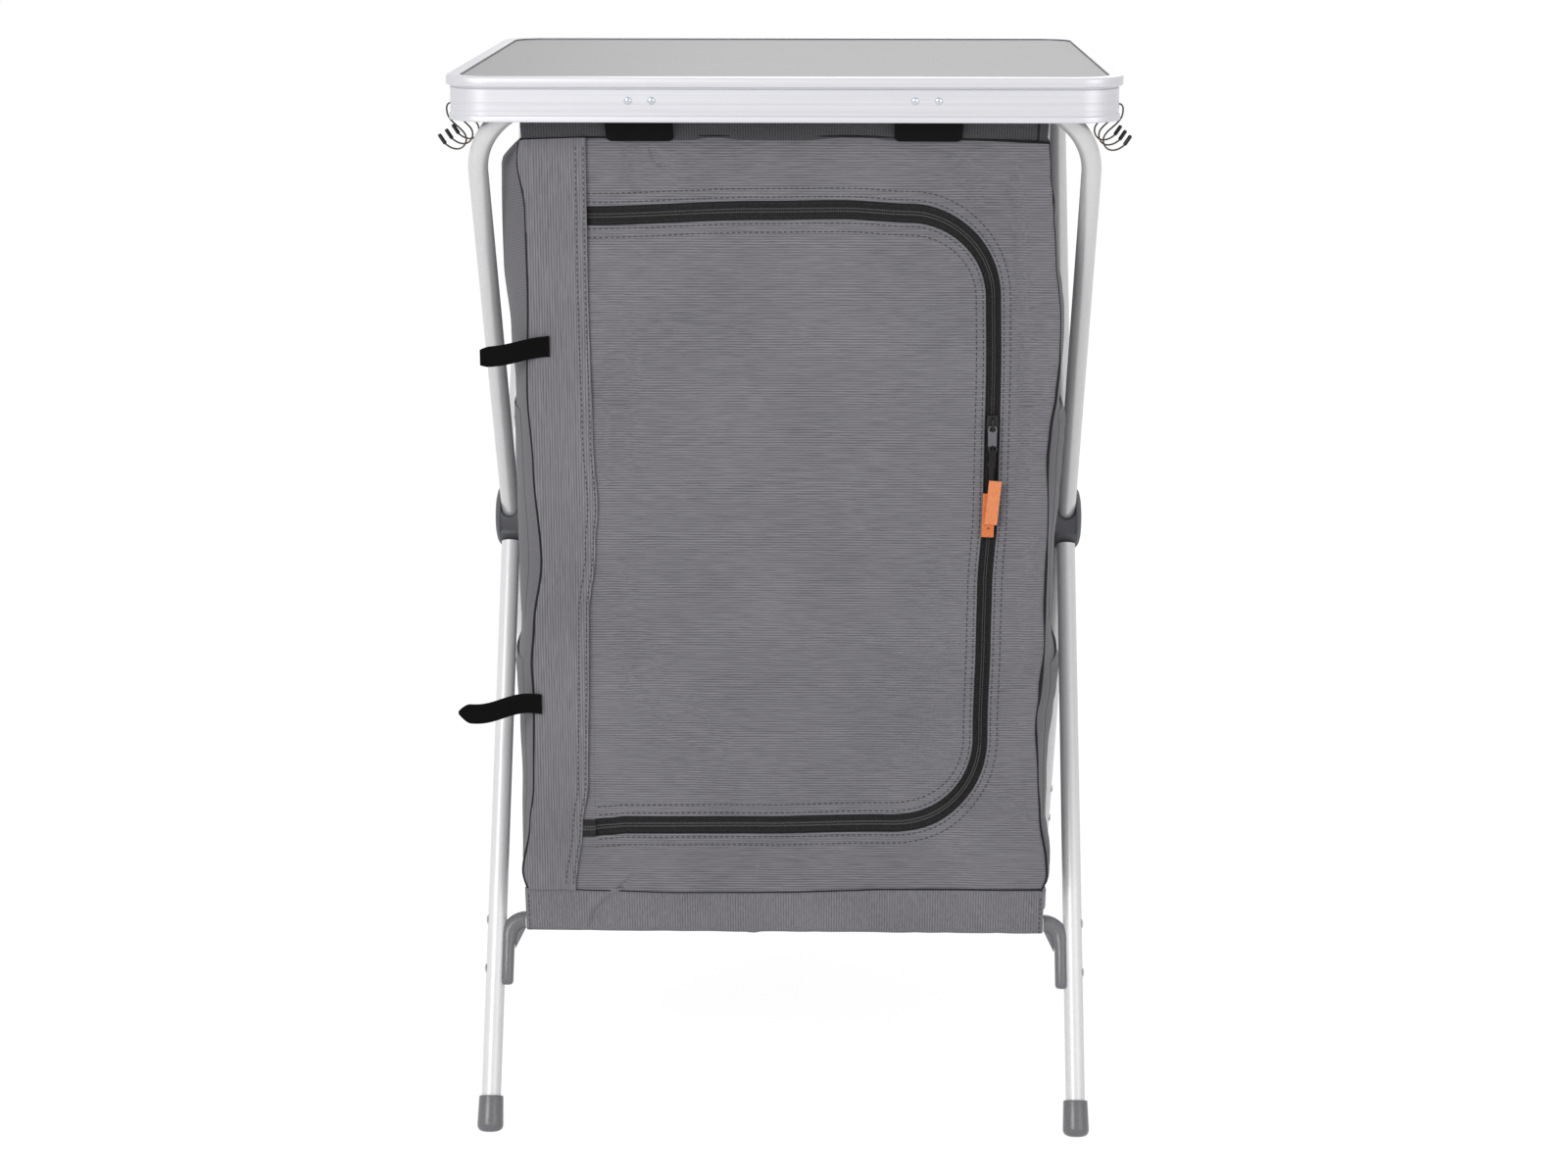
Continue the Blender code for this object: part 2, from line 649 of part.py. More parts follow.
def tabletop_panel():
    inset = RIM_INNER_INSET + GAP
    return loft([rounded_rectangle(inset, SLOT_BOTTOM_Z + GAP), rounded_rectangle(inset, SLOT_TOP_Z - GAP)])


def clip(sx, sy, bore, jaw_end, tip):
    """Clip on the rim with its two rivets; its jaw ends at an angle round the bar, or at a tip."""
    bar = (-BAR_Y, BAR_Z)
    plate_y = -TOP_D / 2 + RIM_INNER_INSET + GAP
    plate_top = min(BAR_Z + CLIP_PLATE_H + CLIP_T, SLOT_BOTTOM_Z - RIM_WALL - GAP)
    neck = max(plate_y + CLIP_PLATE_T, -BAR_Y - bore)
    inner, outer = CLIP_BACK_ANGLES
    outline = arc(bar, bore, inner, jaw_end, JAW_STEPS) + tip
    outline += arc(bar, bore + CLIP_T, jaw_end, outer, JAW_STEPS)
    outline += [(neck, BAR_Z + CLIP_PLATE_H), (neck, plate_top), (plate_y, plate_top),
                (plate_y, BAR_Z - CLIP_PLATE_H), (neck, BAR_Z - CLIP_PLATE_H)]
    outline = [(-sy * y, z) for y, z in outline]
    body = prism(outline, "X", sx * CLIP_X - CLIP_W / 2, sx * CLIP_X + CLIP_W / 2)
    tail = -plate_y - CLIP_PLATE_T / 2
    seat = TOP_D / 2 - RIM_FACE_INSET + GAP
    rivets = [
        rivet((x, 0, BAR_Z), (0, sy, 0), RIM_RIVET_R, RIM_RIVET_HEAD_R, RIM_RIVET_HEAD_T, tail, seat)
        for x in clip_rivet_xs(sx)
    ]
    return boolean(body, rivets, "UNION")


def bar_clip(sx):
    """Snap-over clip that turns on the front bar, round the strap there."""
    return clip(sx, -1, STRAP_BORE_R + STRAP_T + GAP, CLIP_JAW_ANGLE, [])


def bar_guide(sx):
    """Open guide over the rear bar, which slides forward out of it when the frame folds."""
    bore = TUBE_R + GUIDE_CLEARANCE
    reach = GUIDE_FLANGE_L - BAR_Y
    tip = [(reach, BAR_Z + bore), (reach, BAR_Z + bore + CLIP_T)]
    return clip(sx, 1, bore, GUIDE_JAW_ANGLE, tip)


def hook_places():
    return [HOOK_SETBACK - TOP_D / 2 + k * HOOK_PITCH for k in range(HOOKS_PER_SIDE)]


def utensil_hook(side, y):
    """Bent wire through the rim's wall, with a dipped tip."""
    radii = [HOOK_WIRE_R] * len(HOOK_WIRE_BENDS) + [HOOK_TIP_R * t for t in HOOK_TIP_TAPER]
    path = [(side * (HOOK_X - d), y, HOOK_Z + z) for d, z in HOOK_WIRE_BENDS + HOOK_TIP_BENDS]
    return sweep(path, (0, 1, 0), radii, WIRE_SIDES)


def cabinet_outline():
    return [(-CABINET_X, CABINET_BOTTOM), (CABINET_X, CABINET_BOTTOM),
            (CABINET_X, CABINET_TOP - CABINET_CORNER_H), (CABINET_X - CABINET_CORNER_W, CABINET_TOP),
            (-CABINET_X + CABINET_CORNER_W, CABINET_TOP), (-CABINET_X, CABINET_TOP - CABINET_CORNER_H)]


def zip_outline(inset, left):
    """D-shaped line parallel to the zip's centre line, from top left round the right side."""
    right = ZIP_RIGHT_X - inset
    top = ZIP_TOP_Z - inset
    bottom = ZIP_BOTTOM_Z + inset
    top_r = ZIP_TOP_R - inset
    bottom_r = ZIP_BOTTOM_R - inset
    line = [(left, top)]
    line += arc((right - top_r, top - top_r), top_r, 90, 0, ZIP_STEPS)
    line += arc((right - bottom_r, bottom + bottom_r), bottom_r, 0, -90, ZIP_STEPS)
    return line + [(left, bottom)]


def front_surround():
    """Front panel round the door opening."""
    front = -CABINET_Y
    panel = prism(cabinet_outline(), "Y", front, front + FABRIC_T)
    edge = zip_outline(-TAPE_W, DOOR_HINGE_X - GAP)
    opening = prism(edge, "Y", front - FABRIC_T, front + 2 * FABRIC_T)
    return boolean(panel, [opening], "DIFFERENCE")


def cabinet_back():
    return prism(cabinet_outline(), "Y", CABINET_Y - FABRIC_T, CABINET_Y)


def cabinet_side(side):
    """Side panel with its sloped top corner."""
    outer = CABINET_X - FABRIC_T / 2
    path = [(outer, CABINET_BOTTOM), (outer, CABINET_TOP - CABINET_CORNER_H),
            (outer - CABINET_CORNER_W, CABINET_TOP - FABRIC_T / 2)]
    outline = [(side * x, z) for x, z in strip(path, FABRIC_T)]
    return prism(outline, "Y", -INNER_Y, INNER_Y)


def cabinet_roof():
    half = CABINET_X - CABINET_CORNER_W - 2 * FABRIC_T
    return box(-half, half, -INNER_Y, INNER_Y, CABINET_TOP - FABRIC_T, CABINET_TOP)


def board(z):
    """Stiffened board across the cabinet, its underside at z."""
    return box(-INNER_X, INNER_X, -INNER_Y, INNER_Y, z, z + BOARD_T)


def placket():
    """Strip over the door's hinge edge."""
    right = DOOR_HINGE_X - PLACKET_SETBACK
    front = -CABINET_Y - GAP
    return box(right - PLACKET_W, right, front - FABRIC_T, front, CABINET_BOTTOM, CABINET_TOP)


def side_pockets(side):
    """Backing cloth with a lower and an upper open-topped pocket."""
    inner = CABINET_X + GAP
    cloth = inner + FABRIC_T
    outline = []
    cavities = []
    for shelf in (SHELF_LOWER_Z, SHELF_UPPER_Z):
        top = shelf - POCKET_SHELF_DROP
        bottom = top - POCKET_H
        outline += [(cloth, bottom), (POCKET_X, bottom), (POCKET_X, top), (cloth, top)]
        xs = sorted((side * cloth, side * (POCKET_X - FABRIC_T)))
        half = POCKET_HALF_D - FABRIC_T
        cavities.append(box(*xs, -half, half, bottom + FABRIC_T, top + FABRIC_T))
    outline = [(inner, outline[0][1]), *outline[1:-1], (inner, outline[-1][1])]
    solid = prism([(side * x, z) for x, z in outline], "Y", -POCKET_HALF_D, POCKET_HALF_D)
    return boolean(solid, cavities, "DIFFERENCE")


def wrap(start, centre, radius, turn, sweep_angle):
    """Flat path from a point, tangent onto a circle and round it; turn is 1 or -1."""
    dy = start[0] - centre[0]
    dz = start[1] - centre[1]
    touch = degrees(atan2(dz, dy) + turn * acos(radius / hypot(dy, dz)))
    return [start] + arc(centre, radius, touch, touch + turn * sweep_angle, WRAP_STEPS)


def skirt(sy):
    """Cloth from the cabinet's bottom edge down to a hem round the crossbar."""
    radius = CROSSBAR_R + GAP + FABRIC_T / 2
    start = (-CABINET_Y + FABRIC_T / 2, CABINET_BOTTOM - GAP)
    path = wrap(start, (-CROSSBAR_Y, CROSSBAR_Z), radius, 1, SKIRT_WRAP_ANGLE)
    outline = [(-sy * y, z) for y, z in strip(path, FABRIC_T)]
    half = ARM_INNER_X - SKIRT_INSET
    return prism(outline, "X", -half, half)


def top_band(sy):
    """Cloth band from the cabinet's top edge over the top bar, cut away for straps and bends."""
    radius = TUBE_R + GAP + FABRIC_T / 2
    start = (-CABINET_Y + FABRIC_T / 2, CABINET_TOP + GAP)
    path = wrap(start, (-BAR_Y, BAR_Z), radius, 1, BAND_WRAP_ANGLE)
    outline = [(-sy * y, z) for y, z in strip(path, FABRIC_T)]
    band = prism(outline, "X", -BAND_HALF_W, BAND_HALF_W)
    deep = (sy * (BAR_Y + TUBE_D), sy * (CABINET_Y - TUBE_D))
    y0, y1 = min(deep), max(deep)
    top = BAR_Z + TUBE_D
    straight = FRAME_X - BEND_R
    middle, width = (STRAP_X, STRAP_W) if sy < 0 else (CLIP_X, CLIP_W)
    half = width / 2 + FABRIC_T
    tools = []
    for sx in (-1, 1):
        strap = sx * middle
        tools.append(box(strap - half, strap + half, y0, y1, BAR_Z - STRAP_WINDOW_DROP, top))
        ends = sorted((sx * straight, sx * (BAND_HALF_W + TUBE_D)))
        tools.append(box(*ends, y0, y1, BAR_Z - BAND_END_Z_DROP, top))
    return boolean(band, tools, "DIFFERENCE")


def bar_strap(sx):
    """Hook-and-loop strap from the cabinet's top edge round the front bar."""
    radius = STRAP_BORE_R + STRAP_T / 2
    front = CABINET_Y + GAP + STRAP_T / 2
    path = wrap((-front, CABINET_TOP + GAP), (-BAR_Y, BAR_Z), radius, -1, STRAP_WRAP_ANGLE)
    return prism(strip(path, STRAP_T), "X", sx * STRAP_X - STRAP_W / 2, sx * STRAP_X + STRAP_W / 2)


def tie_strap(x, z, length):
    """Loose strap sewn to the placket, running out past the cabinet's side."""
    front = -CABINET_Y - FABRIC_T - 2 * GAP - FABRIC_T / 2
    shares = [k / TIE_STEPS for k in range(TIE_STEPS + 1)]
    path = [(x - length * s, front - TIE_WAVE * (1 - cos(2 * pi * s))) for s in shares]
    return prism(strip(path, FABRIC_T), "Z", z - TIE_H / 2, z + TIE_H / 2)


def door_panel():
    return prism(zip_outline(TAPE_W, DOOR_HINGE_X + GAP), "Y", -CABINET_Y, -CABINET_Y + FABRIC_T)


def zip_tape(outer):
    """Half of the zip: the tape sewn to the surround, or the one sewn to the door."""
    sign = -1 if outer else 1
    seam = zip_outline(sign * (TAPE_W - GAP), DOOR_HINGE_X + GAP)
    teeth = zip_outline(sign * TAPE_HALF_SPLIT, DOOR_HINGE_X + GAP)
    return prism(seam + teeth[::-1], "Y", -CABINET_Y, -CABINET_Y + FABRIC_T)


def zip_slider():
    """Slider body with the bridge that carries the pull."""
    back = -CABINET_Y - GAP
    face = back - SLIDER_T
    half_w = SLIDER_W / 2
    half_h = SLIDER_H / 2
    slope = SLIDER_T / 3
    rings = []
    for y, inset in ((back, 0), (face + slope, 0), (face, slope)):
        x0, x1 = ZIP_RIGHT_X - half_w + inset, ZIP_RIGHT_X + half_w - inset
        z0, z1 = SLIDER_Z - half_h + inset, SLIDER_Z + half_h - inset
        rings.append([(x0, y, z0), (x1, y, z0), (x1, y, z1), (x0, y, z1)])
    body = loft(rings)
    out = face - BRIDGE_REACH + BRIDGE_T / 2
    rise = BRIDGE_H / 2
    root = face + slope / 2
    path = [(root, SLIDER_Z - rise), (out + BRIDGE_T, SLIDER_Z - rise), (out, SLIDER_Z - rise + BRIDGE_T),
            (out, SLIDER_Z + rise - BRIDGE_T), (out + BRIDGE_T, SLIDER_Z + rise), (root, SLIDER_Z + rise)]
    bridge = prism(strip(path, BRIDGE_T), "X", ZIP_RIGHT_X - BRIDGE_W / 2, ZIP_RIGHT_X + BRIDGE_W / 2)
    return boolean(body, [bridge], "UNION")


def zip_pull():
    """Flat pull whose top bar runs through the slider's bridge."""
    y0, y1 = PULL_AXIS_Y - PULL_T / 2, PULL_AXIS_Y + PULL_T / 2
    half = PULL_W / 2
    top = PULL_AXIS_Z + PULL_BAR_R
    low = PULL_AXIS_Z - PULL_L
    corner = half / 2
    sketch = [(-half, low + corner), (-half + corner, low), (half - corner, low), (half, low + corner),
              (half, top - corner), (half - corner, top), (-half + corner, top), (-half, top - corner)]
    plate = prism([(ZIP_RIGHT_X + x, z) for x, z in sketch], "Y", y0, y1)
    window_top = PULL_AXIS_Z - PULL_BAR_R
    window = box(ZIP_RIGHT_X - PULL_WINDOW_W / 2, ZIP_RIGHT_X + PULL_WINDOW_W / 2, y0 - PULL_T, y1 + PULL_T,
                 window_top - PULL_WINDOW_H, window_top)
    hole = cylinder((ZIP_RIGHT_X, PULL_AXIS_Y, TAG_AXIS_Z), (0, 1, 0), PULL_HOLE_R, -PULL_T, PULL_T,
                    RIVET_SIDES)
    return boolean(plate, [window, hole], "DIFFERENCE")


def pull_tag():
    """Cord loop through the pull's hole with the folded tag sewn on its ends."""
    half = CORD_HALF_W
    top = TAG_AXIS_Z - CORD_L
    turns = [pi * k / CORD_BEND_STEPS for k in range(CORD_BEND_STEPS + 1)]
    bend = [(PULL_AXIS_Y + half * cos(a), TAG_AXIS_Z + half * LOOP_RISE * (sin(a) - 1)) for a in turns]
    sewn = top - CORD_L / 4
    route = [(PULL_AXIS_Y + TAG_T / 4, sewn), *bend, (PULL_AXIS_Y - TAG_T / 4, sewn)]
    cord = sweep([(ZIP_RIGHT_X, y, z) for y, z in route], (1, 0, 0), CORD_R, WIRE_SIDES)
    x0, x1 = ZIP_RIGHT_X - TAG_W / 2, ZIP_RIGHT_X + TAG_W / 2
    tag = box(x0, x1, PULL_AXIS_Y - TAG_T / 2, PULL_AXIS_Y + TAG_T / 2, top - TAG_L, top)
    return boolean(tag, [cord], "UNION")


def build_cabinet(mats):
    cloth = mats["cloth"]
    place("cabinet_back", cabinet_back(), cloth)
    for name, side in SIDES:
        place("cabinet_side_" + name, cabinet_side(side), cloth)
        place("side_pockets_" + name, side_pockets(side), cloth)
    place("cabinet_roof", cabinet_roof(), cloth)
    place("cabinet_floor", board(CABINET_BOTTOM), cloth)
    place("shelf_lower", board(SHELF_LOWER_Z), cloth)
    place("shelf_upper", board(SHELF_UPPER_Z), cloth)
    place("front_surround", front_surround(), cloth)
    place("placket", placket(), cloth)
    place("zip_tape_outer", zip_tape(True), cloth)
    for name, sy in (("front", -1), ("rear", 1)):
        place(name + "_skirt", skirt(sy), cloth)
        place(name + "_top_band", top_band(sy), cloth)
    for name, side in SIDES:
        place("bar_strap_" + name, bar_strap(side), mats["black_tape"])
        place("hub_pin_" + name, hub_pin(side), mats["zinc"], smooth=True)
    place("tie_strap_upper", tie_strap(TIE_UPPER_X, TIE_UPPER_Z, TIE_UPPER_L), cloth)
    place("tie_strap_lower", tie_strap(TIE_LOWER_X, TIE_LOWER_Z, TIE_LOWER_L), cloth)


def build_frame(lean, pivot, mats):
    """One of the two crossing frames, with everything that turns with it."""
    top, foot_end = ("front", "rear") if lean < 0 else ("rear", "front")
    disc = "outer" if lean < 0 else "inner"
    place(top + "_upper_frame", upper_frame(lean), mats["tube"], pivot, smooth=True)
    for name, side in SIDES:
        place(f"leg_{foot_end}_{name}", leg(lean, side), mats["tube"], pivot, smooth=True)
        place(f"hub_{disc}_{name}", hub(lean, side), mats["hub"], pivot, smooth=True)
        place(f"foot_{foot_end}_{name}", foot(lean, side), mats["moulded"], pivot, smooth=True)
        place(f"elbow_{foot_end}_{name}", elbow(lean, side), mats["moulded"], pivot, smooth=True)
    place("crossbar_" + foot_end, crossbar(lean), mats["tube"], pivot, smooth=True)


def build_tabletop(pivot, mats):
    place("tabletop_panel", tabletop_panel(), mats["laminate"], pivot)
    place("tabletop_rim", tabletop_rim(), mats["aluminium"], pivot, smooth=True)
    for name, side in SIDES:
        place("bar_clip_" + name, bar_clip(side), mats["black_plastic"], pivot, smooth=True)
        place("bar_guide_" + name, bar_guide(side), mats["black_plastic"], pivot, smooth=True)
        for number, y in enumerate(hook_places(), start=1):
            title = f"utensil_hook_{name}_{number}"
            swing = pivot_empty(title + "_pivot", (side * HOOK_X, y, HOOK_Z), pivot)
            place(title, utensil_hook(side, y), mats["wire"], swing, smooth=True)


def build_door(mats):
    """Door on its hinge line, with its half of the zip, the slider, pull, cord and tag."""
    hinge = pivot_empty("door_pivot", (DOOR_HINGE_X, -CABINET_Y, (ZIP_TOP_Z + ZIP_BOTTOM_Z) / 2))
    place("door_panel", door_panel(), mats["cloth"], hinge)
    place("zip_tape_inner", zip_tape(False), mats["cloth"], hinge)
    rail = pivot_empty("zip_slider_pivot", (ZIP_RIGHT_X, -CABINET_Y, SLIDER_Z), hinge)
    place("zip_slider", zip_slider(), mats["black_plastic"], rail)
    bridge = pivot_empty("zip_pull_pivot", (ZIP_RIGHT_X, PULL_AXIS_Y, PULL_AXIS_Z), rail)
    place("zip_pull", zip_pull(), mats["pull"], bridge)
    hole = pivot_empty("pull_tag_pivot", (ZIP_RIGHT_X, PULL_AXIS_Y, TAG_AXIS_Z), bridge)
    place("pull_tag", pull_tag(), mats["orange"], hole)


def main():
    for obj in list(bpy.data.objects):
        bpy.data.objects.remove(obj)
    mats = {
        "cloth": material("grey_polyester", (0.17, 0.17, 0.18), 0.9),
        "black_tape": material("black_webbing", (0.01, 0.01, 0.01), 0.8),
        "tube": material("silver_coated_tube", (0.62, 0.62, 0.62), 0.35, 0.3),
        "hub": material("dark_moulded_plastic", (0.13, 0.13, 0.13), 0.45),
        "moulded": material("grey_moulded_plastic", (0.42, 0.42, 0.42), 0.3),
        "laminate": material("grey_laminate", (0.52, 0.52, 0.52), 0.5),
        "aluminium": material("anodised_aluminium", (0.80, 0.80, 0.82), 0.3, 0.8),
        "zinc": material("zinc_plated_steel", (0.60, 0.62, 0.65), 0.25, 1.0),
        "wire": material("plated_wire", (0.40, 0.40, 0.40), 0.3, 0.8),
        "black_plastic": material("black_plastic", (0.012, 0.012, 0.012), 0.5),
        "pull": material("grey_zip_pull", (0.20, 0.20, 0.20), 0.5),
        "orange": material("orange_tag", (0.87, 0.28, 0.08), 0.6),
    }
    hub_axis = (0, 0, HUB_Z)
    frame_a = pivot_empty("frame_a_pivot", hub_axis)
    frame_b = pivot_empty("frame_b_pivot", hub_axis)
    top_axis = pivot_empty("tabletop_pivot", (0, -BAR_Y, BAR_Z), frame_a)
    build_cabinet(mats)
    build_frame(-1, frame_a, mats)
    build_frame(1, frame_b, mats)
    build_tabletop(top_axis, mats)
    build_door(mats)


main()
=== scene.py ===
"""Looks of the camping cupboard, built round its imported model.

Metres, +Z up, front towards -Y, +X right.
In order: modelling steps, materials, frame, tabletop, cloth, zip, studio.
"""
from math import acos, atan2, cos, degrees, hypot, pi, radians, sin

import bmesh
import bpy
from mathutils import Matrix, Vector, noise


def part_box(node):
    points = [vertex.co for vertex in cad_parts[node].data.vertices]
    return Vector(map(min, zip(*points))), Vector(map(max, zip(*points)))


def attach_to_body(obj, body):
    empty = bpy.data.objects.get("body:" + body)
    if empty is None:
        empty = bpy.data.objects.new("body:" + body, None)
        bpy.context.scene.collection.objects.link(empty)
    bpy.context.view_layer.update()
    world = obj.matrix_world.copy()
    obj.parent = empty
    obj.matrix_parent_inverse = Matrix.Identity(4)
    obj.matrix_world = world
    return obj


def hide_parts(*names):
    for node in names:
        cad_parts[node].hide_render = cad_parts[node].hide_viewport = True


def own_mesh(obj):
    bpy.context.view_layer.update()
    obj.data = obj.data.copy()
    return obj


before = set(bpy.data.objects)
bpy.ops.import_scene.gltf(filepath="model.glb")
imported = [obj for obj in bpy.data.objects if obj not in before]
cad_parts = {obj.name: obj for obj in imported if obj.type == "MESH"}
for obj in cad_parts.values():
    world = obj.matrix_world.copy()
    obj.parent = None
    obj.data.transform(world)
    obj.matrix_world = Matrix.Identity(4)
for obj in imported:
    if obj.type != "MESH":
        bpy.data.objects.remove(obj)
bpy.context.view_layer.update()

# Frame: tubes, crossing point and lean, the straps' and the clips' and guides' places, hub discs
TUBE_R = 0.009
FRAME_X = 0.275
HUB_Z = 0.525
TUBE_OFFSET = 0.0105
BAR_Y = 0.2415
BAR_Z = 0.9595
STRAP_X = 0.1285
CLIP_X = 0.1257
BEND_R = 0.077
LEAN = acos(TUBE_OFFSET / hypot(BAR_Y, BAR_Z - HUB_Z)) - atan2(BAR_Z - HUB_Z, BAR_Y)
SIN = sin(LEAN)
COS = cos(LEAN)
BAR_ALONG = (BAR_Z - HUB_Z + TUBE_OFFSET * SIN) / COS
GROUND_ALONG = (HUB_Z + TUBE_OFFSET * SIN) / COS
CROSSBAR_Z = 0.1735
CROSSBAR_ALONG = (HUB_Z + TUBE_OFFSET * SIN - CROSSBAR_Z) / COS
CROSSBAR_Y = TUBE_OFFSET * COS + CROSSBAR_ALONG * SIN
DISC_INNER_X = 0.2657
DISC_OUTER_X = 0.2843
DISC_R = 0.030

# Tabletop
TOP_W = 0.600
TOP_D = 0.520
TOP_Z = 0.980
CORNER_R = 0.042
HOOK_X = 0.29575
HOOK_Z = 0.9537

# Cabinet: its outline, and the height of its edges
FRONT_Y = -0.2140
BACK_Y = 0.2140
SIDE_Y = 0.2135
CABINET_TOP = 0.921
CABINET_BOTTOM = 0.2125
HINGE_X = -0.178

# Zip: its line, the radii of its right corners, how wide an inset shows sideways and upwards, and
# its distance to the cloth's turned edges
ZIP_X = 0.187
ZIP_TOP = 0.855
ZIP_BOTTOM = 0.275
ZIP_TOP_R = 0.075
ZIP_LOW_R = 0.090
INSET_X = 0.90
INSET_Z = 1.15
ZIP_GAP = 0.0075

# The pull hangs where the zip's drift has carried it
PULL_X = 0.1897
PULL_Y = -0.2206

SIDES = (("left", -1), ("right", 1))
ENDS = (("front", -1), ("rear", 1))
FORWARD = (0, -1, 0)


# Modelling steps

def leave_edit():
    if bpy.context.mode != "OBJECT":
        bpy.ops.object.mode_set(mode="OBJECT")


def begin():
    """Back to object mode with nothing selected, so that an operator acts on the new piece alone."""
    leave_edit()
    bpy.ops.object.select_all(action="DESELECT")


def whole():
    """Select all of the piece being edited."""
    bpy.ops.mesh.select_all(action="SELECT")


def edit(kind="VERT"):
    """Edit the active piece with all of it selected."""
    bpy.ops.object.mode_set(mode="EDIT")
    bpy.ops.mesh.select_mode(type=kind)
    whole()


def pick(kind, test):
    """In edit mode, select the vertices, edges or faces whose middle passes the test."""
    bpy.ops.mesh.select_mode(type=kind)
    bpy.ops.mesh.select_all(action="DESELECT")
    mesh = bpy.context.active_object.data
    shape = bmesh.from_edit_mesh(mesh)
    for item in {"VERT": shape.verts, "EDGE": shape.edges, "FACE": shape.faces}[kind]:
        corners = [item.co] if kind == "VERT" else [v.co for v in item.verts]
        if test(sum(corners, Vector()) / len(corners)):
            item.select_set(True)
    bmesh.update_edit_mesh(mesh)


def push(step):
    """Extrude what is selected by a step."""
    bpy.ops.mesh.extrude_region_move(TRANSFORM_OT_translate={"value": step})


def turn(centre, axis, angle, steps):
    """Spin what is selected about an axis, right-handed, angle in degrees."""
    bpy.ops.mesh.spin(steps=steps, angle=-radians(angle), center=centre, axis=axis)


def resize(x, y, z):
    """Scale what is selected."""
    bpy.ops.transform.resize(value=(x, y, z))


def raise_by(height):
    """Move what is selected along Z."""
    bpy.ops.transform.translate(value=(0, 0, height))


def round_edges(width, segments):
    bpy.ops.mesh.bevel(offset=width, segments=segments, profile=0.5, affect="EDGES")


def cut(spot, normal, fill=True):
    """Cut the whole piece at a plane and drop what lies behind it."""
    whole()
    bpy.ops.mesh.bisect(plane_co=spot, plane_no=normal, use_fill=fill, clear_inner=True)


def weld(distance=1e-6):
    """Merge points of the whole piece that lie together."""
    whole()
    bpy.ops.mesh.remove_doubles(threshold=distance)


def face_out():
    """Turn all faces of a closed piece outwards."""
    whole()
    bpy.ops.mesh.normals_make_consistent(inside=False)


def close_ends():
    """Fill open ends, merge doubles and turn all faces outwards."""
    weld()
    bpy.ops.mesh.fill_holes(sides=0)
    face_out()


def bake_place():
    """Put the active piece's place, turn and size into its mesh."""
    bpy.ops.object.transform_apply(location=True, rotation=True, scale=True)


def facing(direction):
    """Rotation that turns +Z to a direction."""
    return Vector(direction).to_track_quat("Z", "Y").to_euler()


def finish(name, material, smooth=40):
    """Name the active piece, put its place into its mesh, shade it and give it its finish."""
    leave_edit()
    obj = bpy.context.active_object
    obj.name = obj.data.name = name
    obj.select_set(True)
    if obj.type == "CURVE":
        bpy.ops.object.convert(target="MESH")
        obj = bpy.context.active_object
    bake_place()
    for modifier in list(obj.modifiers):
        bpy.ops.object.modifier_apply(modifier=modifier.name)
    if smooth:
        bpy.ops.object.shade_smooth_by_angle(angle=radians(smooth))
    obj.data.materials.clear()
    obj.data.materials.append(material)
    return obj


def set_down(name, centre, direction, material, smooth=50):
    """Finish a piece made at the origin at its place, its +Z turned to a direction."""
    leave_edit()
    obj = bpy.context.active_object
    obj.location = centre
    obj.rotation_euler = facing(direction)
    return finish(name, material, smooth)


def fuse(name, parts):
    """Join finished pieces into one."""
    begin()
    for part in parts:
        part.select_set(True)
    bpy.context.view_layer.objects.active = parts[0]
    bpy.ops.object.join()
    obj = bpy.context.active_object
    obj.name = obj.data.name = name
    return obj


def open_ring(radius, centre, direction):
    """Start a round bar with a ring of points, ready to be pushed and turned."""
    begin()
    bpy.ops.mesh.primitive_circle_add(vertices=40, radius=radius, location=centre, rotation=facing(direction))
    bake_place()
    edit()


def block(centre, half):
    """Start a box from its centre and half sizes, its edges ready to be rounded."""
    begin()
    bpy.ops.mesh.primitive_cube_add(size=2)
    obj = bpy.context.active_object
    obj.location = centre
    obj.scale = half
    bake_place()
    edit("EDGE")
    return obj


def wire(title, points, radius, material, smooth_line=True, widths=None):
    """Round wire or cord along points; widths are shares of its radius at each."""
    begin()
    bpy.ops.curve.primitive_bezier_curve_add()
    obj = bpy.context.active_object
    line = obj.data
    line.splines.remove(line.splines[0])
    spline = line.splines.new("NURBS" if smooth_line else "POLY")
    spline.points.add(len(points) - 1)
    for number, (spot, point) in enumerate(zip(spline.points, points)):
        spot.co = (*point, 1)
        spot.radius = widths[number] if widths else 1
    if smooth_line:
        spline.order_u = 3
        spline.use_endpoint_u = True
        spline.resolution_u = 6
    line.dimensions = "3D"
    line.bevel_depth = radius
    line.bevel_resolution = 3
    line.use_fill_caps = True
    obj.location = (0, 0, 0)
    return finish(title, material, 60)


def turn_out(obj, outward):
    """Flip a sheet's faces if they look away from a direction."""
    face = max(obj.data.polygons, key=lambda p: p.area)
    if face.normal.dot(Vector(outward)) < 0:
        edit()
        bpy.ops.mesh.flip_normals()
        leave_edit()


def thicken(obj, thickness):
    """Give a sheet its thickness, behind its face."""
    wall = obj.modifiers.new("thickness", "SOLIDIFY")
    wall.thickness = thickness
    wall.offset = -1


def cloth(title, spot, columns, rows, material, thickness=0.0011, outward=None):
    """Sheet of cloth: a grid whose points are laid by spot(u, v), given its thickness."""
    begin()
    bpy.ops.mesh.primitive_grid_add(x_subdivisions=columns, y_subdivisions=rows, size=2)
    obj = bpy.context.active_object
    for vertex in obj.data.vertices:
        vertex.co = spot((vertex.co.x + 1) / 2, (vertex.co.y + 1) / 2)
    edit()
    weld()
    leave_edit()
    if outward:
        turn_out(obj, outward)
    thicken(obj, thickness)
    return finish(title, material, 50)


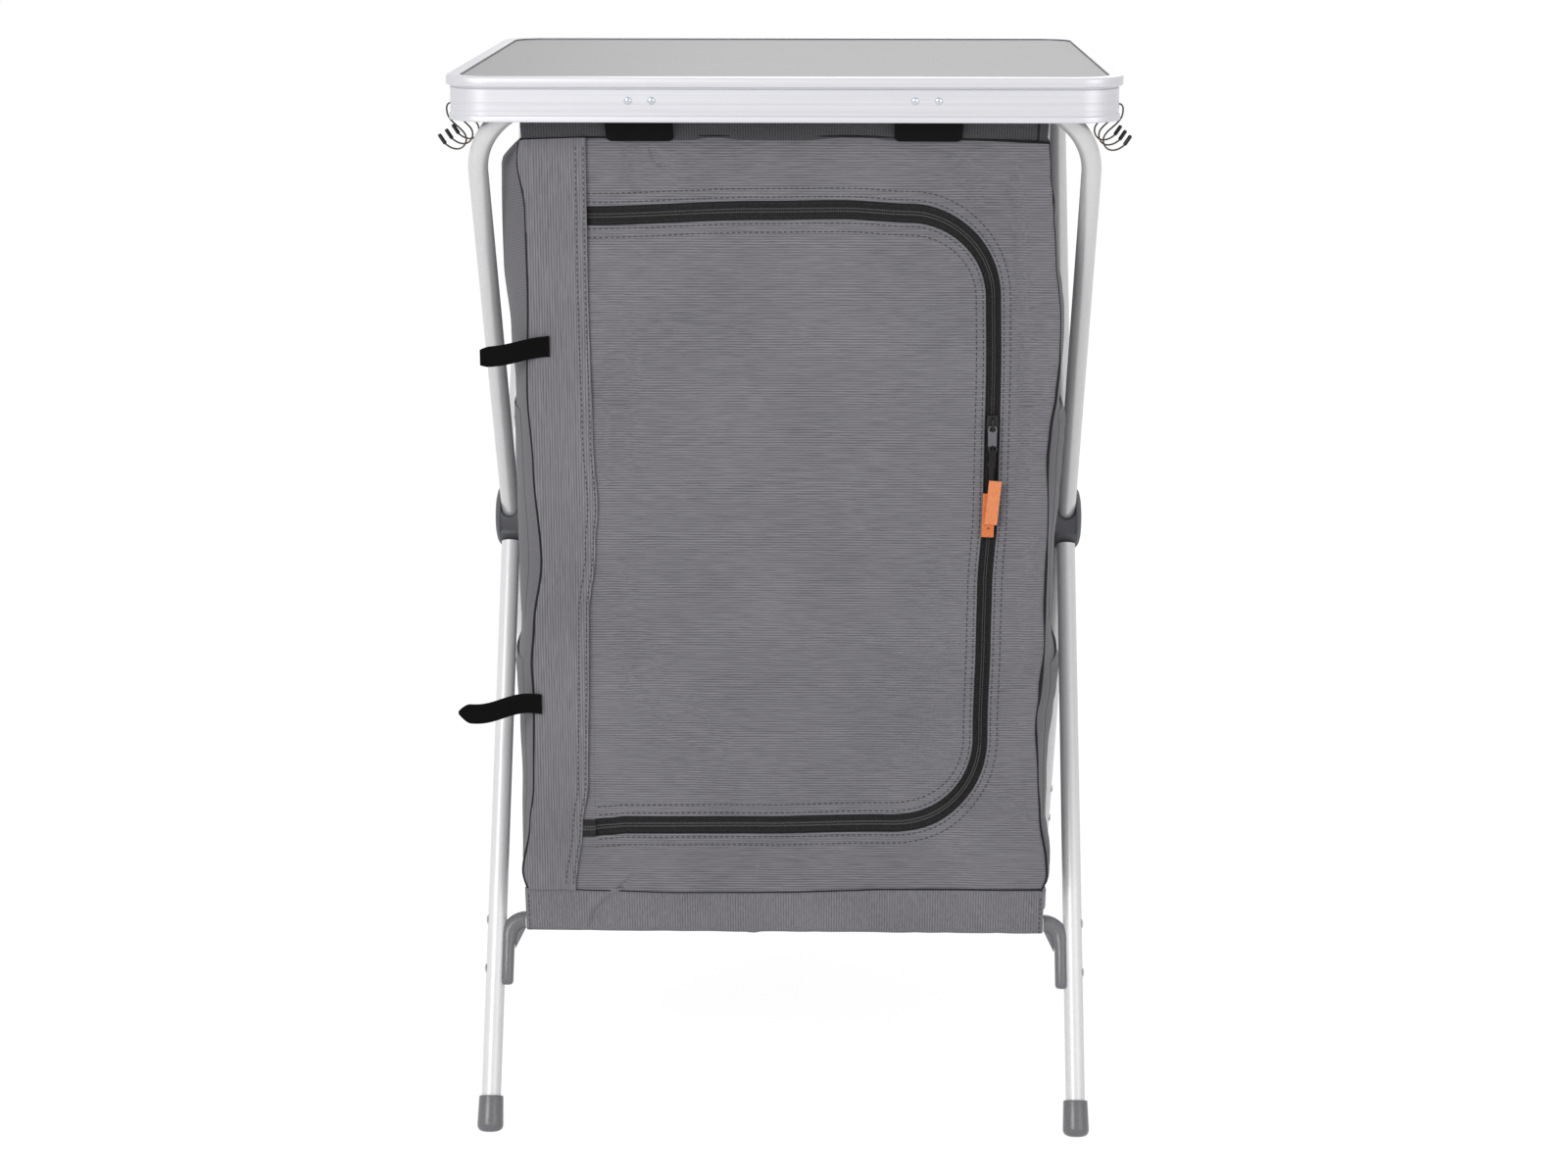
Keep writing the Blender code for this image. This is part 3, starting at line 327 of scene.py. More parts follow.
def attach(piece, body, slot, *nodes):
    """Let a piece ride on its body, in place of the solids that it stands for."""
    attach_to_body(piece, body)
    if nodes:
        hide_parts(*nodes)


def settle(piece, body, slot, *nodes):
    """Attach a soft piece, with a mesh of its own."""
    attach(piece, body, slot, *nodes)
    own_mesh(piece)


def on_cabinet(piece, *nodes):
    settle(piece, "cabinet", "polyester_cloth", *nodes)


def paint(node, material):
    """Give a solid that stays its finish."""
    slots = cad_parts[node].data.materials
    slots.clear()
    slots.append(material)


def frame_point(lean, x, lateral, along):
    """Point of a crossing frame; lean is -1 for the frame with the front bar, 1 for the other."""
    return Vector((x, lean * (lateral * COS + along * SIN), HUB_Z - lateral * SIN + along * COS))


def up_frame(lean):
    return Vector((0, lean * SIN, COS))


def height_at(share):
    """Height of a point of the cabinet by its share from bottom to top."""
    return CABINET_BOTTOM + (CABINET_TOP - CABINET_BOTTOM) * share


def between(table, z):
    """Smooth value between the (height, value) pairs of a table, highest first."""
    if z >= table[0][0]:
        return table[0][1]
    for (z1, v1), (z0, v0) in zip(table, table[1:]):
        if z >= z0:
            t = (z - z0) / (z1 - z0)
            return v0 + (v1 - v0) * t * t * (3 - 2 * t)
    return table[-1][1]


def fade(value, start, end):
    """1 at start, falling smoothly to 0 at end."""
    t = min(max((value - start) / (end - start), 0.0), 1.0)
    return 1 - t * t * (3 - 2 * t)


def ripple(x, y, z, size):
    """Soft unevenness between -1 and 1, about size metres across."""
    return noise.noise(Vector((x, y, z)) / size)


# Materials

def linear(code):
    """Linear colour of an sRGB hex code."""
    parts = [int(code[i:i + 2], 16) / 255 for i in (0, 2, 4)]
    return tuple(p / 12.92 if p <= 0.04045 else ((p + 0.055) / 1.055) ** 2.4 for p in parts) + (1.0,)


def add(tree, kind, settings=(), links=()):
    """Add a node: settings name its properties or sockets, links name the sockets that feed it."""
    made = tree.nodes.new(kind)
    for key, value in dict(settings).items():
        if isinstance(key, str) and hasattr(made, key):
            setattr(made, key, value)
        else:
            made.inputs[key].default_value = value
    for key, source in dict(links).items():
        tree.links.new(source, made.inputs[key])
    return made


def surface(name, **sockets):
    """A material with its shader's constants set; returns the material, its tree and shader."""
    mat = bpy.data.materials.new(name)
    mat.use_nodes = True
    tree = mat.node_tree
    shader = tree.nodes["Principled BSDF"]
    for key, value in sockets.items():
        shader.inputs[key.replace("_", " ")].default_value = value
    return mat, tree, shader


def maths(tree, operation, *inputs):
    """Result of an operation on numbers and sockets."""
    numbers = {key: value for key, value in enumerate(inputs) if isinstance(value, (int, float))}
    sockets = {key: value for key, value in enumerate(inputs) if key not in numbers}
    return add(tree, "ShaderNodeMath", {"operation": operation, **numbers}, sockets).outputs[0]


def waves(tree, source, pitch):
    """Sine wave along a coordinate, pitch metres long."""
    return maths(tree, "SINE", maths(tree, "MULTIPLY", source, 2 * pi / pitch))


def grain(tree, source, scale, detail, **more):
    """Noise over coordinates."""
    return add(tree, "ShaderNodeTexNoise", {"Scale": scale, "Detail": detail, **more}, {"Vector": source}).outputs[0]


def blend(tree, share, first, second):
    """First value with a share of the second mixed in."""
    return add(tree, "ShaderNodeMix", {"data_type": "FLOAT", 0: share}, {2: first, 3: second}).outputs[0]


def stretched(tree, source, scale):
    """Coordinates scaled along each axis."""
    return add(tree, "ShaderNodeMapping", {"Scale": scale}, {"Vector": source}).outputs[0]


def split(tree, source):
    return add(tree, "ShaderNodeSeparateXYZ", (), {0: source}).outputs


def dye(tree, shader, tone, low, dark, high, light):
    """Colour the shader by a tone: a dark hex code up to low, a light one from high."""
    made = add(tree, "ShaderNodeValToRGB", (), {0: tone})
    for element, place, code in zip(made.color_ramp.elements, (low, high), (dark, light)):
        element.position = place
        element.color = linear(code)
    tree.links.new(made.outputs[0], shader.inputs["Base Color"])


def emboss(tree, shader, height, strength, depth):
    """Give the shader relief, depth in metres."""
    made = add(tree, "ShaderNodeBump", {"Strength": strength, "Distance": depth}, {"Height": height})
    tree.links.new(made.outputs[0], shader.inputs["Normal"])


def ribbed_polyester(name, dark, light, along):
    """Heavy ribbed polyester canvas: a dull, slightly hairy face with fine raised ribs.

    The ribs are about 1.9 mm apart; they are drawn 2.4 mm apart so that they show. along is their axis.
    """
    mat, tree, shader = surface(name, Roughness=0.86, Specular_IOR_Level=0.25, Sheen_Weight=0.18,
                                Sheen_Roughness=0.6)
    place = add(tree, "ShaderNodeTexCoord").outputs["Object"]
    stretch, across = {"X": ((70, 1500, 1500), "Z"), "Z": ((1500, 1500, 70), "X")}[along]
    slubs = grain(tree, stretched(tree, place, stretch), 0.6, 2.0)
    ribs = maths(tree, "MULTIPLY_ADD", waves(tree, split(tree, place)[across], 0.0024), 0.5, 0.5)
    weave = blend(tree, 0.38, slubs, ribs)
    dye(tree, shader, blend(tree, 0.22, weave, grain(tree, place, 9.0, 3.0)), 0.22, dark, 0.78, light)
    emboss(tree, shader, weave, 0.28, 0.0006)
    return mat


def speckled(name, dark, light, size, strength, **sockets):
    """A finish with fine grain: its size in metres and the strength of its relief."""
    mat, tree, shader = surface(name, **sockets)
    place = add(tree, "ShaderNodeTexCoord").outputs["Object"]
    dots = grain(tree, place, 1 / size, 3.0, Roughness=0.6)
    dye(tree, shader, blend(tree, 0.35, dots, grain(tree, place, 7.0, 2.0)), 0.3, dark, 0.7, light)
    emboss(tree, shader, dots, strength, 0.0002)
    return mat


def drawn_metal(name, dark, light, stretch, **sockets):
    """Extruded or drawn metal: faint lines along its length from the die."""
    mat, tree, shader = surface(name, **sockets)
    place = add(tree, "ShaderNodeTexCoord").outputs["Object"]
    streaks = grain(tree, stretched(tree, place, stretch), 1.0, 3.0)
    dye(tree, shader, streaks, 0.3, dark, 0.7, light)
    limits = {"To Min": sockets["Roughness"] - 0.05, "To Max": sockets["Roughness"] + 0.07}
    rough = add(tree, "ShaderNodeMapRange", limits, {"Value": streaks})
    tree.links.new(rough.outputs[0], shader.inputs["Roughness"])
    return mat


def woven_tape(name, dark, light, pitch):
    """Close-woven tape: diagonal threads of a fine twill, pitch metres apart along its own UV map."""
    mat, tree, shader = surface(name, Roughness=0.78, Specular_IOR_Level=0.3, Sheen_Weight=0.1)
    place = add(tree, "ShaderNodeTexCoord").outputs
    parts = split(tree, place["UV"])
    thread = waves(tree, maths(tree, "ADD", parts[0], parts[1]), pitch)
    tone = maths(tree, "MULTIPLY_ADD", thread, 0.2, grain(tree, place["Object"], 400.0, 2.0))
    dye(tree, shader, tone, 0.2, dark, 0.8, light)
    emboss(tree, shader, tone, 0.3, 0.0004)
    return mat


def coil(name):
    """Nylon zip coil: round turns 1.5 mm apart across the tape, with a painted highlight where they crown and painted
    shade between them.
    """
    mat, tree, shader = surface(name, Roughness=0.42, Specular_IOR_Level=0.5)
    along = split(tree, add(tree, "ShaderNodeTexCoord").outputs["UV"])[1]
    rise = maths(tree, "MULTIPLY_ADD", waves(tree, along, 0.0015), 0.5, 0.5)
    # Colour by the turns' height: painted highlight on the crowns, painted shade in the grooves
    dye(tree, shader, rise, 0.15, "121213", 0.8, "48484a")
    emboss(tree, shader, rise, 0.8, 0.0004)
    return mat


# Front, door and sides of the cabinet: ribs lie level
CLOTH = ribbed_polyester("ribbed_polyester_level", "5b5a5f", "959399", "X")
# Sides: the same cloth painted darker, painted shade for the lesser light that falls on the sides
CLOTH_PAINTED_SHADE_SIDES = ribbed_polyester("ribbed_polyester_painted_shade_sides", "525156", "868489", "X")
# Placket, skirts and hems: the same cloth with its ribs upright
CLOTH_UPRIGHT = ribbed_polyester("ribbed_polyester_upright", "5e5c61", "97959b", "Z")
# Bands over the bars: the same weave dyed darker
BAND_CLOTH = ribbed_polyester("dark_ribbed_polyester", "343436", "5e5e62", "Z")
# Hook-and-loop strap: black fuzzy loops about 1 mm across
STRAP_CLOTH = speckled("black_hook_and_loop", "040404", "0f0f10", 0.0012, 0.9, Roughness=0.95,
                       Specular_IOR_Level=0.12, Sheen_Weight=0.06)
# Piping: black polyester cord, also laid as painted shade in the right front seam's slit and along the zip's covered
# edges; thread: pale on the pockets' hems, grey elsewhere
PIPING_AND_SHADE_CORD = speckled("black_piping_and_painted_shade_cord", "101011", "1e1e20", 0.0010, 0.5, Roughness=0.7,
                  Specular_IOR_Level=0.3)
PALE_THREAD = speckled("pale_sewing_thread", "8e8d92", "a9a8ad", 0.0006, 0.4, Roughness=0.7)
THREAD = speckled("grey_sewing_thread", "2e2e31", "4a4a4e", 0.0006, 0.4, Roughness=0.7)
# Zip: woven black tape with a nylon coil
TAPE = woven_tape("black_zip_tape", "161617", "2e2e30", 0.0011)
COIL = coil("black_nylon_coil")
# Rim: extruded aluminium, satin anodised, with faint die lines along its run
ALUMINIUM = drawn_metal("satin_anodised_aluminium", "dbdbe0", "e4e4e9", (3, 3, 900), Metallic=0.50, Roughness=0.38)
# Worktop: light grey laminate, dull with a very fine grain; round it a dark bead is painted shade for the shadow in the
# recess at the rim's flange
LAMINATE = speckled("grey_laminate", "aaaaac", "b2b2b4", 0.0009, 0.25, Roughness=0.48, Specular_IOR_Level=0.4)
RECESS_SHADE_BEAD = speckled("dark_bead_painted_recess_shade", "2f3032", "45464a", 0.0015, 0.3, Roughness=0.6)
# Tubes: steel with a silver-grey powder coat, a fine orange peel in its gloss
TUBE = speckled("silver_powder_coat", "dedede", "e8e8e9", 0.0022, 0.10, Metallic=0.30, Roughness=0.32)
# Legs: the same coat painted lighter, painted light for the light from above that the legs' upturned fronts catch
LEG_COAT_PAINTED_LIGHT = speckled("silver_powder_coat_painted_light", "f0f0f1", "f9f9fa", 0.0022, 0.10, Metallic=0.10, Roughness=0.32)
# Feet and elbows: moulded grey ABS, glossy
GREY_ABS = speckled("glossy_grey_abs", "707074", "7c7c80", 0.0030, 0.10, Roughness=0.26, Specular_IOR_Level=0.55)
# Hubs and their sockets: moulded dark grey nylon, satin with a fine spark-eroded grain
DARK_NYLON = speckled("dark_grey_nylon", "535458", "616267", 0.0007, 0.30, Roughness=0.52)
# Clips on the front bar and guides on the rear one: black nylon
BLACK_NYLON = speckled("black_nylon", "141415", "202022", 0.0008, 0.30, Roughness=0.50)
# Rivets and pins: zinc-plated steel, bright with a faint blue cast
ZINC = speckled("zinc_plated_steel", "b9c0c8", "d3d8de", 0.0016, 0.15, Metallic=1.0, Roughness=0.18)
# Hooks: plated wire; their tips are dipped in black vinyl
WIRE = speckled("plated_wire", "443f3a", "625b53", 0.0010, 0.20, Metallic=0.9, Roughness=0.30)
VINYL = speckled("black_dipped_vinyl", "0c0c0d", "19191b", 0.0010, 0.35, Roughness=0.38)
# Slider: black enamelled zinc; its pull is enamelled grey and its cord is black
SLIDER_ENAMEL = speckled("black_zip_enamel", "111112", "222224", 0.0009, 0.2, Metallic=0.3, Roughness=0.32)
PULL_ENAMEL = speckled("grey_zip_enamel", "5b5c60", "77787c", 0.0009, 0.2, Metallic=0.5, Roughness=0.38)
CORD = woven_tape("black_zip_cord", "101011", "2c2c2e", 0.0012)
# Tag: orange webbing, smooth and close-woven; its bar tack is darker
ORANGE = woven_tape("orange_webbing", "f08c58", "fba272", 0.0016)
# Rear leaf: the same webbing painted darker, painted shade where it hangs behind the front leaf
ORANGE_PAINTED_SHADE_REAR = woven_tape("orange_webbing_rear_painted_shade", "e57a46", "f08f5c", 0.0016)
ORANGE_SHADE = woven_tape("orange_bar_tack", "b85c2a", "d4743c", 0.0010)


# Frame

def upper_tube(title, lean):
    """U-bent top tube: up one side, across the top and down the other."""
    start = 0.012
    up = up_frame(lean)
    open_ring(TUBE_R, frame_point(lean, -FRAME_X, TUBE_OFFSET, start), up)
    rise = BAR_ALONG - BEND_R
    for _ in range(3):
        push(up * (rise - start) / 3)
    plane = up.cross(Vector((1, 0, 0)))
    turn(frame_point(lean, BEND_R - FRAME_X, TUBE_OFFSET, rise), plane, 90, 20)
    push((2 * (FRAME_X - BEND_R), 0, 0))
    turn(frame_point(lean, FRAME_X - BEND_R, TUBE_OFFSET, rise), plane, 90, 20)
    for _ in range(3):
        push(-up * (rise - start) / 3)
    close_ends()
    return finish(title, TUBE)


def leg_tube(title, lean, side):
    """Straight leg from its hub down into its foot cap."""
    start = 0.030
    cap = 0.010
    open_ring(TUBE_R, frame_point(lean, side * FRAME_X, -TUBE_OFFSET, -start), up_frame(lean))
    for _ in range(4):
        push(-up_frame(lean) * (GROUND_ALONG - cap - start) / 4)
    close_ends()
    return finish(title, LEG_COAT_PAINTED_LIGHT)


def rivet_head(title, centre, direction, radius, height):
    """Domed rivet head with a thin flat rim, seated at centre."""
    rim = 0.0003
    begin()
    bpy.ops.mesh.primitive_uv_sphere_add(segments=24, ring_count=16, radius=radius)
    edit()
    cut((0, 0, 0), (0, 0, 1), fill=False)
    whole()
    resize(1, 1, (height - rim) / radius)
    pick("EDGE", lambda p: p.z < 1e-6)
    push((0, 0, -rim))
    whole()
    raise_by(-min(v.co.z for v in bmesh.from_edit_mesh(bpy.context.active_object.data).verts))
    close_ends()
    return set_down(title, centre, direction, ZINC, 60)


def foot_cap(title, lean, side):
    """Moulded cap: tapered to its top edge, rounded at its end and cut level on the ground."""
    length = 0.031
    below = 0.0028
    half = (length + below) / 2
    begin()
    bpy.ops.mesh.primitive_cylinder_add(vertices=48, radius=0.0125, depth=length + below)
    edit()
    pick("VERT", lambda p: p.z > 0)
    resize(0.912, 0.912, 1)
    pick("EDGE", lambda p: p.z > half - 1e-5 and hypot(p.x, p.y) > 0.005)
    round_edges(0.0009, 3)
    pick("EDGE", lambda p: p.z < 1e-5 - half and hypot(p.x, p.y) > 0.005)
    round_edges(0.0075, 9)
    leave_edit()
    up = up_frame(lean)
    cap = bpy.context.active_object
    cap.location = frame_point(lean, side * FRAME_X, -TUBE_OFFSET, -GROUND_ALONG) + up * (length - below) / 2
    cap.rotation_euler = facing(up)
    bake_place()
    edit()
    cut((0, 0, 0.0002), (0, 0, 1))
    close_ends()
    return finish(title, GREY_ABS, 50)


def socket(title, lean, side, end, reach, width):
    """Rounded socket that holds a tube's end: a sector of a disc about the pin, with a flat front."""
    pin = Vector((side * sum(width) / 2, 0, HUB_Z))
    begin()
    bpy.ops.mesh.primitive_cylinder_add(vertices=96, radius=reach, depth=width[1] - width[0], location=pin,
                                        rotation=facing((side, 0, 0)))
    bake_place()
    edit()
    across = Vector((0, lean * COS, -SIN)) * end
    level = Vector((0, 0, end))
    for spot, normal in ((across * 0.0012, across), (level * 0.0001, level), (across * 0.0205, -across)):
        cut(pin + spot, normal)
    close_ends()
    leave_edit()
    soft = bpy.context.active_object.modifiers.new("soft_edges", "BEVEL")
    soft.width = 0.0004
    soft.segments = 3
    soft.limit_method = "ANGLE"
    soft.angle_limit = radians(35)
    return finish(title, DARK_NYLON, 50)


def saddle(title, lean, side, width):
    """Rounded front between the tubes' ends, flush with the disc, hollowed where the tubes come out."""
    reach = 0.0293
    middle = (DISC_INNER_X + DISC_OUTER_X) / 2
    half = (DISC_OUTER_X - DISC_INNER_X) / 2 + 0.0006

    def spot(u, v):
        x = width[0] + (width[1] - width[0]) * u
        off = min(abs(x - middle) / half, 1.0)
        top = 0.0043 + 0.0105 * (1 - (1 - off ** 2) ** 0.5)
        low = -0.0118 - 0.0045 * off ** 2
        dz = low + (top - low) * v
        return side * x, lean * (reach ** 2 - dz ** 2) ** 0.5, HUB_Z + dz

    return cloth(title, spot, 24, 16, DARK_NYLON, thickness=0.0060, outward=(0, lean, 0))


def hub(title, lean, side):
    """Disc beside the tubes with the two sockets that hold their ends; the outer one is domed."""
    outer = lean < 0
    base, thick, way, dome = (DISC_OUTER_X, 0.0020, 1, 1.0) if outer else (DISC_INNER_X, 0.0070, -1, 0.3)
    begin()
    bpy.ops.mesh.primitive_cylinder_add(vertices=72, radius=DISC_R, depth=thick)
    edit()
    pick("EDGE", lambda p: p.z > thick / 2 - 1e-5 and hypot(p.x, p.y) > DISC_R - 0.0001)
    round_edges(0.0008, 4)
    pick("FACE", lambda p: p.z > thick / 2 - 1e-5 and hypot(p.x, p.y) < 0.001)
    for step, rise in ((0.0010, 0.0011), (0.0025, 0.0014), (0.0050, 0.0012), (0.0060, 0.0006), (0.0005, 0.0)):
        bpy.ops.mesh.inset(thickness=step)
        raise_by(rise * dome)
    centre = (side * (base + way * thick / 2), 0, HUB_Z)
    parts = [set_down(title + "_disc", centre, (side * way, 0, 0), DARK_NYLON)]
    width = (DISC_INNER_X - 0.001, DISC_OUTER_X - 0.0001)
    if outer:
        width = (DISC_INNER_X + 0.0001, DISC_OUTER_X + 0.001)
    for name, end, reach in (("upper", 1, 0.0258), ("lower", -1, 0.0315)):
        parts.append(socket(f"{title}_socket_{name}", lean, side, end, reach, width))
    parts.append(saddle(f"{title}_saddle", lean, side, width))
    return fuse(title, parts)


def hub_pin(title, side):
    """Steel pin through both discs, with a flat head outside them."""
    start, seat, end = 0.2575, 0.2900, 0.2914
    top = (end - start) / 2
    begin()
    bpy.ops.mesh.primitive_cylinder_add(vertices=32, radius=0.0040, depth=end - start)
    edit()
    pick("FACE", lambda p: p.z > top - 1e-6)
    bpy.ops.mesh.inset(thickness=0.0002)
    pick("VERT", lambda p: p.z > top - 1e-6)
    raise_by(seat - end)
    pick("FACE", lambda p: p.z > top - (end - seat) - 1e-6 and abs(p.x) < 0.001 and abs(p.y) < 0.001)
    resize(1.84, 1.84, 1)
    push((0, 0, end - seat))
    pick("EDGE", lambda p: p.z > top - 1e-6 and hypot(p.x, p.y) > 0.005)
    round_edges(0.0008, 4)
    face_out()
    return set_down(title, (side * (start + end) / 2, 0, HUB_Z), (side, 0, 0), ZINC, 40)


def elbow(title, lean, side):
    """Moulded bracket: an arm from the crossbar, bent down along the leg, with a three-cornered web."""
    down = -up_frame(lean)
    bend = 0.0158
    hug = Vector((0, -lean * COS, SIN)) * 0.0015
    centre = Vector((0.2475 * side, -lean * CROSSBAR_Y, CROSSBAR_Z))
    open_ring(0.0082, centre, (side, 0, 0))
    turn(centre + down * bend, Vector((side, 0, 0)).cross(down), 90, 14)
    for step, size, pull in ((0.004, 0.84, 1), (0.006, 0.86, 1), (0.0325, 1.0, 0), (0.0022, 0.90, 0),
                             (0.0012, 0.72, 0), (0.0004, 0.45, 0)):
        push(down * step + hug * pull)
        resize(size, size, size)
    close_ends()
    limb = finish(title + "_limb", GREY_ABS, 60)
    begin()
    bpy.ops.mesh.primitive_cube_add(size=2)
    drops = {(False, True): 0.0050, (False, False): 0.0082, (True, True): 0.0050, (True, False): 0.0275}
    for vertex in bpy.context.active_object.data.vertices:
        x = 0.2570 if vertex.co.x > 0 else 0.2478
        drop = drops[(vertex.co.x > 0, vertex.co.z > 0)]
        shift = 0.0021 * (1 if vertex.co.y > 0 else -1)
        vertex.co = frame_point(lean, side * x, -TUBE_OFFSET + shift, -CROSSBAR_ALONG - drop)
    edit("EDGE")
    round_edges(0.0006, 3)
    close_ends()
    return fuse(title, [limb, finish(title + "_web", GREY_ABS, 50)])


def build_frame(lean):
    """The front bar's frame with the rear legs where lean is -1, the rear bar's with the front legs where 1."""
    top, low, disc, body = ("front", "rear", "outer", "frame_a")
    if lean > 0:
        top, low, disc, body = ("rear", "front", "inner", "frame_b")
    attach(upper_tube(top + "_bar_tube", lean), body, "coated_tube", top + "_upper_frame")
    for name, side in SIDES:
        attach(leg_tube(f"{low}_leg_tube_{name}", lean, side), body, "coated_tube", f"leg_{low}_{name}")
        attach(hub(f"{disc}_hub_{name}", lean, side), body, "dark_moulding", f"hub_{disc}_{name}")
        attach(foot_cap(f"{low}_foot_cap_{name}", lean, side), body, "grey_moulding", f"foot_{low}_{name}")
        attach(elbow(f"{low}_elbow_{name}", lean, side), body, "grey_moulding", f"elbow_{low}_{name}")
        for number, along in enumerate((-CROSSBAR_ALONG, -CROSSBAR_ALONG - 0.046), start=1):
            seat = frame_point(lean, side * (FRAME_X + TUBE_R + 0.0001), -TUBE_OFFSET, along)
            head = rivet_head(f"{low}_leg_rivet_{name}_{number}", seat, (side, 0, 0), 0.0042, 0.0017)
            attach(head, body, "zinc_plated_pin")
    paint("crossbar_" + low, TUBE)


def build_pins():
    for name, side in SIDES:
        attach(hub_pin(f"hub_pin_head_{name}", side), "cabinet", "zinc_plated_pin", "hub_pin_" + name)


# Tabletop

# Rim profile, as distance inward from the outline and height below the top: flange, lip, groove,
# face with two fine ribs, foot
RIM_PROFILE = (
    (0.0118, 0.0000), (0.0022, 0.0000), (0.0010, 0.0003), (0.0003, 0.0010), (0.0000, 0.0020), (0.0000, 0.0074),
    (0.0003, 0.0083), (0.0010, 0.0088), (0.0040, 0.0090), (0.0050, 0.0094), (0.0052, 0.0101), (0.0044, 0.0107),
    (0.0035, 0.0110), (0.0035, 0.0222), (0.0032, 0.0226), (0.0032, 0.0233), (0.0035, 0.0237), (0.0035, 0.0290),
    (0.0032, 0.0294), (0.0032, 0.0301), (0.0035, 0.0305), (0.0035, 0.0334), (0.0029, 0.0341), (0.0023, 0.0345),
    (0.0021, 0.0352), (0.0021, 0.0386), (0.0026, 0.0394), (0.0034, 0.0395), (0.0050, 0.0395), (0.0050, 0.0081),
    (0.0120, 0.0081), (0.0120, 0.0066), (0.0050, 0.0066), (0.0050, 0.0015), (0.0120, 0.0015), (0.0120, 0.0003),
)


def profile(points):
    """Start a closed outline across X from (y, z) points, ready to be pushed and turned."""
    begin()
    bpy.ops.mesh.primitive_circle_add(vertices=len(points), radius=0.01)
    for vertex, (y, z) in zip(bpy.context.active_object.data.vertices, points):
        vertex.co = (0, y, z)
    edit()


def run_round_top(steps):
    """Run a profile from the middle of the top's front edge round its four corners and back."""
    half_w = TOP_W / 2 - CORNER_R
    half_d = TOP_D / 2 - CORNER_R
    push((half_w, 0, 0))
    for x, y, way in ((half_w, -half_d, (0, 2 * half_d, 0)), (half_w, half_d, (-2 * half_w, 0, 0)),
                      (-half_w, half_d, (0, -2 * half_d, 0)), (-half_w, -half_d, (half_w, 0, 0))):
        turn((x, y, 0), (0, 0, 1), 90, steps)
        push(way)
    weld(1e-5)
    face_out()


def tabletop_edge():
    """Extruded rim: its profile drawn once at the front and run round the top."""
    profile([(-TOP_D / 2 + inward, TOP_Z - drop) for inward, drop in RIM_PROFILE])
    run_round_top(16)
    return finish("tabletop_edge_profile", ALUMINIUM, 30)


def recess_shade_bead():
    """Dark bead between the laminate and the rim's flange, painted shade for the shadow in that recess: a fine bead
    round the panel.
    """
    bead, y, z = 0.0006, 0.0121 - TOP_D / 2, 0.97845
    turns = [2 * pi * number / 8 for number in range(8)]
    profile([(y + bead * cos(a), z + bead * sin(a)) for a in turns])
    run_round_top(12)
    return finish("tabletop_recess_shade_bead", RECESS_SHADE_BEAD, 60)


# Bends of a utensil hook, inward and up from its hole, and the two ends of its dipped tip
HOOK_WIRE = (
    (0.0050, -0.0060), (0.0048, -0.0020), (0.0030, -0.0003), (0.0000, 0.0000), (-0.0034, -0.0003),
    (-0.0052, -0.0022), (-0.0058, -0.0055), (-0.0052, -0.0100), (-0.0036, -0.0138), (0.0010, -0.0190),
    (0.0070, -0.0240), (0.0110, -0.0290), (0.0114, -0.0345), (0.0088, -0.0395), (0.0040, -0.0418),
    (-0.0020, -0.0408), (-0.0070, -0.0375), (-0.0082, -0.0362),
)
HOOK_TIP = ((-0.0074, -0.0370), (-0.0132, -0.0282))


def utensil_hook(name, side, number):
    """Bent wire hook and its dipped tip, which ride on one body."""
    y = -0.210 + 0.045 * (number - 1)
    body = f"hook_{name}_{number}"
    bends = [(side * (HOOK_X - d), y, HOOK_Z + z) for d, z in HOOK_WIRE]
    hook = wire(f"hook_wire_{name}_{number}", bends, 0.0008, WIRE)
    low, high = [Vector((side * (HOOK_X - d), y, HOOK_Z + z)) for d, z in HOOK_TIP]
    half = (high - low).length / 2
    begin()
    bpy.ops.mesh.primitive_cylinder_add(vertices=20, radius=0.0018, depth=2 * half)
    edit("EDGE")
    pick("EDGE", lambda p: abs(p.z) > half - 1e-6)
    round_edges(0.0013, 5)
    tip = set_down(f"hook_tip_{name}_{number}", (low + high) / 2, high - low, VINYL, 60)
    attach(hook, body, "hook_wire", f"utensil_hook_{name}_{number}")
    attach(tip, body, "hook_wire")


def build_tabletop():
    """Rim, dark bead of painted recess shade, rivets and hooks; the panel, clips and guides keep their solids."""
    attach(tabletop_edge(), "tabletop", "anodised_aluminium", "tabletop_rim")
    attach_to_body(recess_shade_bead(), "tabletop")
    paint("tabletop_panel", LAMINATE)
    for name, side in SIDES:
        paint("bar_clip_" + name, BLACK_NYLON)
        paint("bar_guide_" + name, BLACK_NYLON)
        for end, sy in ENDS:
            for number, shift in enumerate((-1, 1), start=1):
                seat = (side * CLIP_X + shift * 0.01025, sy * (TOP_D / 2 - 0.0034), BAR_Z)
                head = rivet_head(f"{end}_rim_rivet_{name}_{number}", seat, (0, sy, 0), 0.0034, 0.0021)
                attach(head, "tabletop", "zinc_plated_pin")
        for number in (1, 2, 3):
            utensil_hook(name, side, number)


# Cloth

